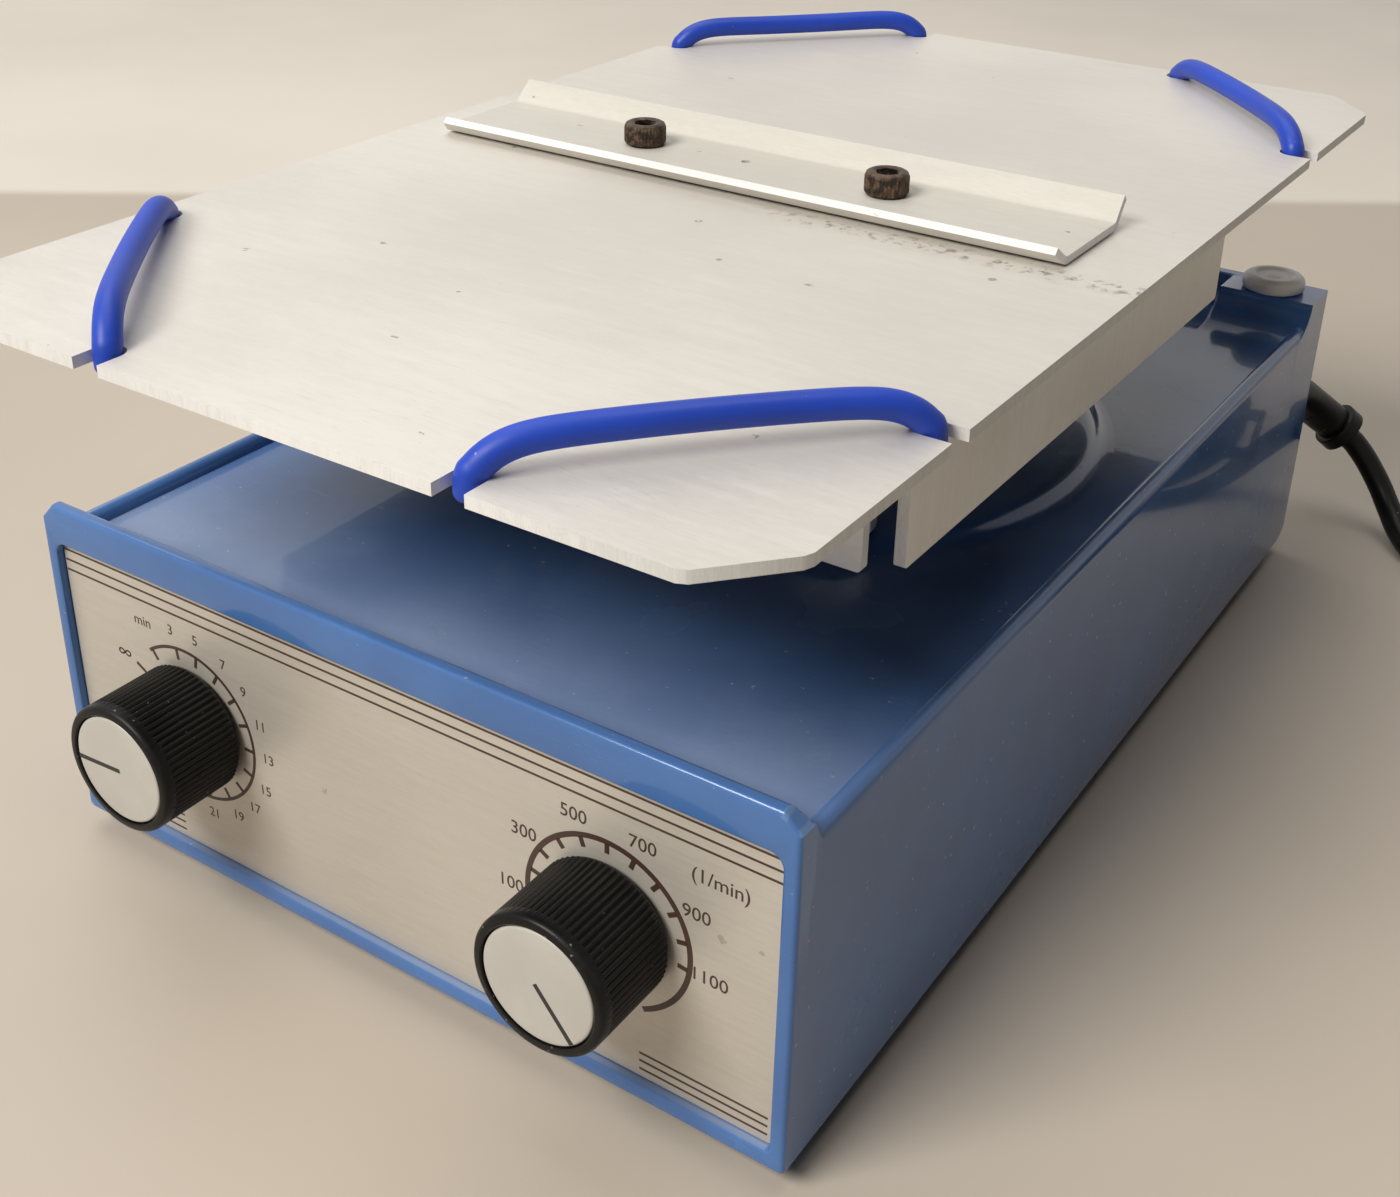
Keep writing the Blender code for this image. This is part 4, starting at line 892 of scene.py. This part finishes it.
# control knobs: ribbed black caps with a smooth front ring, a white disc and a pointer line
knob = {"radius": 12.3, "length": 18.0, "ribs": 66, "ribDepth": 0.42, "height": 36.7, "bore": 3.3, "boreEnd": 11.0,
        "foot": ((1.2, 0.6), (0.5, 0.9), (0.35, 1.3)), "ribLow": 1.6, "ribTop": 2.5,
        "face": ((0.0, 2.2), (0.0, 0.9), (0.1, 0.5), (0.34, 0.18), (0.7, 0.03), (1.5, 0.0), (1.72, 0.14),
                 (1.78, 1.1)), "ribForm": (0.0, 0.75, 1.0, 1.0, 0.75, 0.0), "disc": 10.3, "pointer": 0.85,
        "timer": (-46.0, 184.5, "timer_dial"), "speed": (46.0, -51.0, "speed_dial")}


def knobRing(radius, height, depth=0.0):
    dips = [depth * (1 - rise) for rise in knob["ribForm"]]
    return ribbedRing(radius, height, knob["ribs"] * len(dips), dips)


def makeKnob(name):
    x, angle, body = knob[name]
    matrix = facing((x, panel["face"], knob["height"]))
    radius, length, depth = knob["radius"], knob["length"], knob["ribDepth"]
    rings = [knobRing(knob["bore"], height) for height in (knob["boreEnd"], knob["foot"][0][1])]
    rings += [knobRing(radius - inset, height) for inset, height in knob["foot"]]
    rings += [knobRing(radius, height, depth) for height in (knob["ribLow"], length - knob["ribTop"])]
    rings += [knobRing(radius - inset, length - drop) for inset, drop in knob["face"]]
    placeRings(f"{name}Knob", rings, matrix, knobBlack, body, (f"{name}_knob",), 34.0)
    reach = knob["disc"]
    profile = [(reach, length - 0.8), (reach, length - 0.5), (reach - 0.08, length - 0.32),
               (reach - 0.25, length - 0.2), (reach - 0.6, length - 0.16), (reach * 0.5, length - 0.13),
               (0.4, length - 0.12)]
    placeRings(f"{name}Disc", turnedRings(profile, 96), matrix, discWhite, body, (f"{name}_disc",), 40.0)
    turn = matrix @ Matrix.Rotation(math.radians(angle), 4, "Z")
    half = knob["pointer"] / 2
    outline = [(-0.6, -half), (reach - 0.3, -half), (reach - 0.3, half), (-0.6, half)]
    rings = [[Vector((*spot, h)) for spot in outline] for h in (length - 0.3, length - 0.08)]
    placeRings(f"{name}Pointer", rings, turn, pointerInk, body)


makeKnob("timer")
makeKnob("speed")
print("knobs made")

# table: slotted plate, folded pan below, divider bar with two screws, and four corner straps
plate = {"half": (82.5, 137.0), "low": 115.0, "top": 117.0, "cut": (10.7, 12.3), "slot": 5.6, "endX": 35.4,
         "sideY": 83.8, "inset": 4.4, "edge": 0.22, "soft": 0.9}


def showCut(piece, isCut):
    # sawn or sheared edges of sheet metal look brighter than its rolled faces
    addFinish(piece, cutSheet, isCut)


def addFinish(piece, finish, isChosen):
    piece.data.materials.append(finish)
    for face in piece.data.polygons:
        if isChosen(face.center / mm, face.normal):
            face.material_index = len(piece.data.materials) - 1


def softenEdges(piece, width, angle):
    edge = piece.modifiers.new("edge", "BEVEL")
    edge.width = width * mm
    edge.segments = 2
    edge.limit_method = "ANGLE"
    edge.angle_limit = math.radians(angle)


def plateQuarter():
    halfW, halfL = plate["half"]
    r = plate["slot"] / 2
    points = [(halfW, plate["sideY"] - r)]
    points += arcPoints((halfW - plate["inset"], plate["sideY"]), r, 270, 90, 14)
    points += [(halfW, plate["sideY"] + r)]
    cutX, cutY = plate["cut"]
    corners = [Vector((halfW, plate["sideY"] + r)), Vector((halfW, halfL - cutY)), Vector((halfW - cutX, halfL)),
               Vector((plate["endX"] + r, halfL))]
    for before, corner, after in zip(corners, corners[1:], corners[2:]):
        for t in (0.0, 0.33, 0.67, 1.0):
            a = corner + (before - corner).normalized() * plate["soft"] * (1 - t)
            b = corner + (after - corner).normalized() * plate["soft"] * t
            points.append(tuple(a + (b - corner)))
    points += [(plate["endX"] + r, halfL)]
    points += arcPoints((plate["endX"], halfL - plate["inset"]), r, 360, 180, 14)
    return points + [(plate["endX"] - r, halfL)]


def makePlate():
    quarter = plateQuarter()
    outline = quarter + [(-x, y) for x, y in reversed(quarter)]
    outline += [(-x, -y) for x, y in quarter] + [(x, -y) for x, y in reversed(quarter)]
    bm = bmesh.new()
    addSkin(bm, [[Vector((x, y, z)) for x, y in outline] for z in (plate["low"], plate["top"])])
    rims = [e for e in bm.edges if len(e.link_faces) == 2 and e.calc_face_angle() > 1.2]
    rims = [e for e in rims if abs(e.verts[0].co.z - e.verts[1].co.z) < 0.1]
    bmesh.ops.bevel(bm, geom=rims, offset=plate["edge"], segments=2, profile=0.5, affect="EDGES")
    piece = placeBmesh("tablePlate", bm, tableSheet, "table", ("table_plate",), 30.0)
    showCut(piece, lambda centre, normal: abs(normal.z) < 0.5)
    addFinish(piece, lowerSheet, lambda centre, normal: normal.z < -0.9)


def makePan():
    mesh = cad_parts["pan"].data.copy()
    mesh.name = "tablePan"
    piece = placeMesh("tablePan", mesh, foldedSheet, "table", ("pan",), 30.0)
    softenEdges(piece, 0.25, 40)
    showCut(piece, lambda centre, normal: (abs(centre.x) > 67.5 and abs(normal.y) > 0.9) or (
        abs(centre.y) > 74.5 and abs(normal.x) > 0.9) or (centre.z < 87.0 and normal.z < -0.5))


# each pair of the bar's folds, lifts and end clips gives the front one, then the rear one
bar = {"centre": (-3.0, 1.5), "low": 117.3, "length": 140.0, "fold": (12.8, 10.4), "lift": (2.7, 4.9),
       "clip": (1.2, 0.4), "thick": 1.5, "bend": 1.6, "hole": (-7.6, 3.4, 1.0), "drill": (110.0, 125.0)}


def barMiddle(fold, lift):
    # middle line of one half of the bar: flat, a 45 degree bend, then the raised flange
    half = bar["thick"] / 2
    bend = bar["bend"] + half
    flatEnd = fold - bend * math.tan(math.radians(22.5))
    tip = fold + lift - half * math.sqrt(0.5)
    points = [(0.0, half), (flatEnd * 0.5, half)]
    for i in range(9):
        a = math.radians(45 * i / 8)
        points.append((flatEnd + bend * math.sin(a), half + bend * (1 - math.cos(a))))
    lastY, lastZ = points[-1]
    points.append((tip, lastZ + tip - lastY))
    return points


def makeBar():
    front, rear = [barMiddle(fold, lift) for fold, lift in zip(bar["fold"], bar["lift"])]
    line = [(-y, z) for y, z in reversed(front[1:])] + rear
    half = bar["thick"] / 2
    under, over, reach = [], [], []
    for i, (y, z) in enumerate(line):
        before = line[max(0, i - 1)]
        after = line[min(len(line) - 1, i + 1)]
        along = Vector((after[0] - before[0], after[1] - before[1])).normalized()
        out = Vector((-along.y, along.x)) * half
        under.append((y - out.x, z - out.y))
        over.append((y + out.x, z + out.y))
        side = int(y > 0)
        flange = max(0.0, (abs(y) - bar["fold"][side]) / bar["lift"][side])
        reach.append(bar["length"] / 2 - bar["clip"][side] * min(1.0, flange))
    bm = bmesh.new()
    x0, y0 = bar["centre"]
    ends = []
    for side in (-1, 1):
        low = [bm.verts.new((x0 + side * r, y0 + y, bar["low"] + z)) for r, (y, z) in zip(reach, under)]
        high = [bm.verts.new((x0 + side * r, y0 + y, bar["low"] + z)) for r, (y, z) in zip(reach, over)]
        for i in range(len(low) - 1):
            bm.faces.new((low[i], low[i + 1], high[i + 1], high[i]))
        ends.append(low + list(reversed(high)))
    count = len(ends[0])
    for i in range(count):
        j = (i + 1) % count
        bm.faces.new((ends[0][i], ends[0][j], ends[1][j], ends[1][i]))
    drill = bmesh.new()
    holeX, holeY, holeR = bar["hole"]
    addTurned(drill, [(holeR, z) for z in bar["drill"]], 24, Matrix.Translation((holeX, holeY, 0)))
    piece = placeCut("dividerBar", bm, [drill], barSheet, "table", ("divider_bar",))
    softenEdges(piece, 0.18, 50)
    showCut(piece, lambda centre, normal: abs(normal.x) > 0.5 or (
        normal.z > 0.5 and normal.y * (centre.y - y0) > 6.0))


screw = {"places": (-31.0, 25.0), "y": 1.5, "seat": 118.8, "radius": 4.3, "height": 4.6, "shank": 2.0,
         "socket": 2.1, "socketDeep": 2.3, "knurls": 36, "knurlDeep": 0.16}


def makeScrew(number, x):
    count = screw["knurls"] * 4
    radius, height = screw["radius"], screw["height"]

    def hexRing(reach, level):
        ring = []
        for p in roundRing(1.0, level, count):
            a = math.atan2(p.y, p.x) % (math.pi / 3) - math.pi / 6
            ring.append(Vector((p.x * reach / math.cos(a), p.y * reach / math.cos(a), level)))
        return ring

    deep = screw["knurlDeep"]
    under = [(screw["shank"], -9.5), (screw["shank"], 0.3), (radius - 0.3, 0.3), (radius - 0.1, 0.6)]
    over = [(radius - 0.12, height - 0.7), (radius - 0.3, height - 0.25), (radius - 0.75, height), (2.75, height),
            (2.6, height - 0.08)]
    rings = turnedRings(under, count)
    rings += [ribbedRing(radius, level, count, (deep, deep, 0.0, 0.0)) for level in (0.8, height - 0.9)]
    rings += turnedRings(over, count)
    rings += [hexRing(screw["socket"], height - down) for down in (0.2, screw["socketDeep"])]
    matrix = Matrix.Translation((x, screw["y"], screw["seat"]))
    placeRings(f"barScrew{number}", rings, matrix, rustedScrew, "table", (f"bar_screw_{number}",), 35.0)


# each strap's rise at its first and second slot, its bow in the middle and its sideways sway
strap = {"radius": 2.3, "tail": 1.5, "shoulder": 9.0, "steps": 28,
         "form": {(-1, -1): (5.6, 3.4, 0.3, 0.6), (-1, 1): (4.7, 4.6, -0.5, -0.5), (1, -1): (4.9, 4.7, 0.5, 0.5),
                  (1, 1): (3.6, 4.6, 0.3, 0.7)}}


def makeStrap(number, sideX, sideY):
    # a silicone tube up through one slot, over the corner with soft shoulders and down through the other
    halfW, halfL = plate["half"]
    start = Vector((sideX * plate["endX"], sideY * (halfL - plate["inset"])))
    end = Vector((sideX * (halfW - plate["inset"]), sideY * plate["sideY"]))
    along = end - start
    across = Vector((-along.y, along.x)).normalized()
    first, second, bow, sway = strap["form"][(sideX, sideY)]
    foot = plate["low"] - strap["tail"]
    knots = [Vector((*start, foot)), Vector((*start, plate["low"]))]
    for i in range(1, strap["steps"]):
        t = 0.5 - 0.5 * math.cos(math.pi * i / strap["steps"])
        wave = math.sin(math.pi * t)
        rise = first + (second - first) * t + bow * wave
        height = rise * (1 - abs(2 * t - 1) ** strap["shoulder"])
        spot = start + along * t + across * sway * wave
        knots.append(Vector((*spot, plate["top"] + height)))
    knots += [Vector((*end, plate["low"])), Vector((*end, foot))]
    line = smoothLine(knots, 3)
    radius = strap["radius"]
    radii = [radius] * len(line)
    for i, share in enumerate((0.55, 0.85, 0.97)):
        radii[i] = radius * share
        radii[-1 - i] = radius * share
    bm = bmesh.new()
    addSwept(bm, line, radii, 24)
    placeBmesh(f"strap{number}", bm, strapBlue, "table", (f"strap_{number}",), 60.0)


makePlate()
makePan()
makeBar()
for number, x in enumerate(screw["places"], 1):
    makeScrew(number, x)
for number, (sideX, sideY) in enumerate(((-1, -1), (-1, 1), (1, -1), (1, 1)), 1):
    makeStrap(number, sideX, sideY)
print("table dressed")

# small pieces on the housing: the cap in the rod hole and four rubber feet
cap = {"place": (68.5, 124.5, 72.0),
       "profile": ((4.1, -14.0), (4.1, 0.35), (6.8, 0.35), (7.1, 0.5), (7.3, 1.0), (7.3, 1.9), (7.2, 2.5), (6.9, 3.1),
                   (6.4, 3.5), (5.7, 3.75), (5.0, 3.8), (4.5, 3.65), (4.2, 3.25), (3.9, 3.1), (1.7, 3.1), (1.4, 3.2),
                   (0.6, 3.3))}
foot = {"places": ((-67.0, -105.9), (-67.0, 118.9), (67.0, -105.9), (67.0, 118.9)),
        "profile": ((6.8, 0.0), (8.3, 0.0), (8.9, 0.2), (9.3, 0.7), (9.4, 1.3), (9.4, 2.5), (9.2, 2.9), (8.0, 3.3),
                    (7.3, 3.6), (7.2, 4.2))}


def makeCap():
    matrix = Matrix.Translation(cap["place"])
    placeRings("rodCap", turnedRings(cap["profile"], 64), matrix, milkyCap, "housing_body", ("rod_plug",), 45.0)


def makeFeet():
    for number, (x, y) in enumerate(foot["places"], 1):
        matrix = Matrix.Translation((x, y, 0))
        placeRings(f"foot{number}", turnedRings(foot["profile"], 48), matrix, rubberBlack, "housing_body",
                   (f"foot_{number}",), 45.0)


makeCap()
makeFeet()

# carried-over solids take these finishes
nodeFinish = {"base_plate": innerSheet, "motor_plate": innerSheet, "table_hub": innerSheet,
              "motor": darkSteel, "balance_weight": darkSteel, "control_board": boardGreen, "coil_tie": rubberBlack}
nodePrefix = {"base_screw": darkSteel, "guide_bush": bushBrass}
nodePrefix.update({start: turnedSteel for start in ("guide_crank", "plug_pin", "motor_post", "drive_", "table_inner",
                                                    "table_outer", "timer_spindle", "speed_spindle", "timer_control",
                                                    "speed_control", "eccentric")})


def dressNodes():
    for name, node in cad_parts.items():
        finish = nodeFinish.get(name)
        for start, other in nodePrefix.items():
            if name.startswith(start):
                finish = other
        if finish:
            node.data.materials.clear()
            node.data.materials.append(finish)


dressNodes()
print("solids dressed")

# floor, light and surroundings; lengths here are metres
stage = {"size": 4.0, "tone": (0.53, 0.465, 0.39), "far": (0.80, 0.74, 0.655), "line": 0.352, "soft": 0.006,
         "turn": 2.0, "rough": 0.55, "air": (1.0, 0.97, 0.93, 1.0), "around": 0.03, "shown": 0.8}
lamps = {"keyLamp": {"place": (-0.34, -1.18, 1.22), "target": (0.0, 0.0, 0.05), "size": (0.8, 0.6), "power": 28.5,
                     "tint": (1.0, 0.965, 0.91)},
         "topLamp": {"place": (-0.36, 0.2, 1.50), "target": (0.0, 0.1, 0.05), "size": (0.9, 2.0), "power": 12.8,
                     "tint": (1.0, 0.98, 0.95)}}


def makeFloor():
    bm = bmesh.new()
    bmesh.ops.create_grid(bm, x_segments=1, y_segments=1, size=stage["size"])
    mesh = meshFrom("floor", bm)
    finish, tree, shader, place = newFinish("floorTop")
    heading = math.radians(view["azimuth"] + stage["turn"])
    along = addNode(tree, "ShaderNodeVectorMath", {0: place, 1: (-math.sin(heading), math.cos(heading), 0.0)},
                    operation="DOT_PRODUCT").outputs["Value"]
    beyond = rangeNode(tree, along, stage["line"] - stage["soft"], stage["line"] + stage["soft"])
    cloud = rangeNode(tree, noiseNode(tree, place, 6.0, 4.0), 0.3, 0.7, 0.96, 1.04)
    values = {0: mixNode(tree, beyond, stage["tone"], stage["far"]), "Scale": cloud}
    tone = addNode(tree, "ShaderNodeVectorMath", values, operation="SCALE")
    feed(tree, shader, {"Base Color": tone.outputs["Vector"], "Roughness": stage["rough"]})
    mesh.materials.append(finish)
    floor = addObject("floor", mesh)


def makeLamp(name, look):
    lamp = bpy.data.lights.new(name, "AREA")
    lamp.shape = "RECTANGLE"
    lamp.size, lamp.size_y = look["size"]
    lamp.energy = look["power"]
    lamp.color = look["tint"]
    toward = Vector(look["target"]) - Vector(look["place"])
    turn = toward.to_track_quat("-Z", "Y").to_matrix().to_4x4()
    addObject(name, lamp).matrix_world = Matrix.Translation(Vector(look["place"])) @ turn


def makeWorld():
    world = bpy.data.worlds.new("softRoom")
    world.use_nodes = True
    tree = world.node_tree
    light = tree.nodes["Background"]
    light.inputs["Color"].default_value = stage["air"]
    path = tree.nodes.new("ShaderNodeLightPath")
    seen = mathNode(tree, "MAXIMUM", path.outputs["Is Camera Ray"], path.outputs["Is Glossy Ray"])
    seen = mathNode(tree, "MAXIMUM", seen, path.outputs["Is Transmission Ray"])
    tree.links.new(rangeNode(tree, seen, 0.0, 1.0, stage["around"], stage["shown"]), light.inputs["Strength"])
    bpy.context.scene.world = world


makeFloor()
for name, look in lamps.items():
    makeLamp(name, look)
makeWorld()
print("stage lit")
